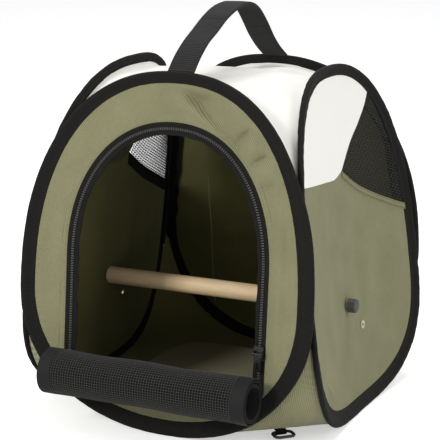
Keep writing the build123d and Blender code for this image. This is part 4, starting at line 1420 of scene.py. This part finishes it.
@dataclass
class RingTab:
    """Webbing tab round the ring's bar, under the front right corner."""
    spot: Tuple[float, float] = (92.0, -90.0)
    wide: float = 10.0
    tail: float = 14.0
    cloth: float = 1.1
    bar: float = 1.3
    play: float = 0.08

    def make(self) -> None:
        """Tape along the tail, round the bar and back a little."""
        centre = self.bar + self.play + self.cloth / 2
        level = self.bar + self.play + self.cloth + self.play
        bend = centre * math.pi

        def place(run: Array, across: Array, out: Array) -> Array:
            """Points along the tab, across it and out of it."""
            angle = np.clip((run - self.tail) / centre, 0, math.pi)
            r = centre + out
            back = np.maximum(run - self.tail - bend, 0)
            ahead = np.where(run < self.tail, run - self.tail, r * np.sin(angle)) - back
            high = np.where(run < self.tail, r, r * np.cos(angle))
            side = across - self.wide / 2
            along = ahead[..., None] * np.array([1, -1, 0]) / math.sqrt(2)
            aside = side[..., None] * np.array([1, 1, 0]) / math.sqrt(2)
            return np.array([*self.spot, level]) + along + aside + high[..., None] * np.array([0, 0, 1.0])

        shape = ribbon(place, np.linspace(0, self.tail + bend + 4, 60), self.wide, self.cloth)
        dress(shape.piece("ring_loop"), WEBBING, "bag", "ring_tab")
        repaint("d_ring", BLACK_PLASTIC)


@dataclass
class Perch:
    """Wooden perch with its screw knobs, washers and the eyelets below."""

    def make(self) -> None:
        """Finish the turned and pressed pieces."""
        repaint("perch", WOOD)
        for side in ("right", "left"):
            repaint(side + "_knob", BLACK_PLASTIC)
            repaint(side + "_washer", STEEL)
            repaint(side + "_eyelet", BRASS)


# ---------------------------------------------------------------- studio

@dataclass(frozen=True)
class Lamp:
    """A square soft lamp: where it stands, its edge in metres and its power in watts."""
    name: str
    place: Tuple[float, float, float]
    size: float
    power: float


@dataclass
class Studio:
    """Camera at the photograph's viewing angle, plain soft light and a pale floor."""
    lens: float = 126.1
    eye: Tuple[float, float, float] = (0.5839, -1.2405, 0.4814)
    back: Tuple[float, float, float] = (0.41990, -0.87868, 0.22720)
    ambient: float = 0.45
    glow: float = 0.50
    floor_half: float = 6000.0
    floor_level: float = -0.4
    lamps: Tuple[Lamp, ...] = (Lamp("key", (-0.75, -1.9, 1.2), 0.5, 25.0),
                               Lamp("fill", (1.9, -0.5, 1.1), 1.0, 12.5),
                               Lamp("top", (0.1, 0.5, 2.4), 1.0, 20.0))

    def camera(self) -> None:
        """The camera, without shift or depth of field."""
        data = bpy.data.cameras.new("camera")
        data.lens, data.sensor_width = self.lens, 36.0
        data.clip_start, data.clip_end = 0.05, 50.0
        item = bpy.data.objects.new("camera", data)
        bpy.context.scene.collection.objects.link(item)
        item.location = self.eye
        item.rotation_mode = "QUATERNION"
        item.rotation_quaternion = (-Vector(self.back)).to_track_quat("-Z", "Y")
        bpy.context.scene.camera = item

    def light(self, lamp: Lamp) -> None:
        """One lamp that looks at the carrier's middle."""
        data = bpy.data.lights.new(lamp.name, "AREA")
        data.energy, data.size, data.shape = lamp.power, lamp.size, "SQUARE"
        item = bpy.data.objects.new(lamp.name, data)
        bpy.context.scene.collection.objects.link(item)
        item.location = lamp.place
        item.rotation_mode = "QUATERNION"
        item.rotation_quaternion = (Vector((0, 0, 0.15)) - Vector(lamp.place)).to_track_quat("-Z", "Y")

    def world(self) -> None:
        """Even pale light, with pure white behind the object for the camera and for reflections."""
        world = bpy.data.worlds.new("studio")
        world.use_nodes = True
        nodes = Nodes(world.node_tree)
        path = nodes.add("ShaderNodeLightPath")
        seen = nodes.math("MAXIMUM", path.outputs["Is Camera Ray"], nodes.math(
            "MAXIMUM", path.outputs["Is Glossy Ray"], path.outputs["Is Transmission Ray"]))
        strength = nodes.math("MULTIPLY_ADD", seen, 1.0 - self.ambient, self.ambient)
        back = nodes.add("ShaderNodeBackground", {"Color": (1, 1, 1, 1), "Strength": strength})
        nodes.add("ShaderNodeOutputWorld", {0: back.outputs[0]})
        bpy.context.scene.world = world

    def floor(self) -> None:
        """Wide pale floor."""
        edge = np.linspace(-self.floor_half, self.floor_half, 9)
        x, y = np.meshgrid(edge, edge, indexing="ij")
        points = np.stack([x, y, np.full_like(x, self.floor_level)], -1)
        shape = lattice(points, np.stack([x, y], -1)).facing((0, 0, 1))
        item = shape.piece("studio_floor")
        made = bpy.data.materials.new("pale_floor")
        made.use_nodes = True
        nodes = Nodes(made.node_tree)
        shader = nodes.add("ShaderNodeBsdfPrincipled", {"Base Color": (0.93, 0.93, 0.93, 1), "Roughness": 0.9,
                                                        "Specular IOR Level": 0.1})
        path = nodes.add("ShaderNodeLightPath")
        glow = nodes.add("ShaderNodeEmission", {"Color": (1, 1, 1, 1), "Strength": self.glow})
        both = nodes.add("ShaderNodeAddShader", {0: shader.outputs[0], 1: glow.outputs[0]})
        mixed = nodes.add("ShaderNodeMixShader", {0: path.outputs["Is Camera Ray"], 1: shader.outputs[0],
                                                  2: both.outputs[0]})
        nodes.add("ShaderNodeOutputMaterial", {0: mixed.outputs[0]})
        item.data.materials.append(made)

    def make(self) -> None:
        """Everything round the carrier."""
        self.camera()
        self.world()
        for lamp in self.lamps:
            self.light(lamp)
        self.floor()
        bpy.context.scene.view_settings.view_transform = "Standard"


def main() -> None:
    """Build the carrier and the studio in order."""
    logging.basicConfig(level=logging.INFO, format="%(message)s")
    Studio().make()
    HoopBindings().make()
    ClothWalls().make()
    Doorway().make()
    StarCloths().make()
    Windows(ClothWalls()).make()
    DoorRoll().make()
    CornerTapes().make()
    RearSeam().make()
    Handle().make()
    FloorBoard().make()
    RingTab().make()
    Perch().make()


if __name__ == "__main__":
    main()
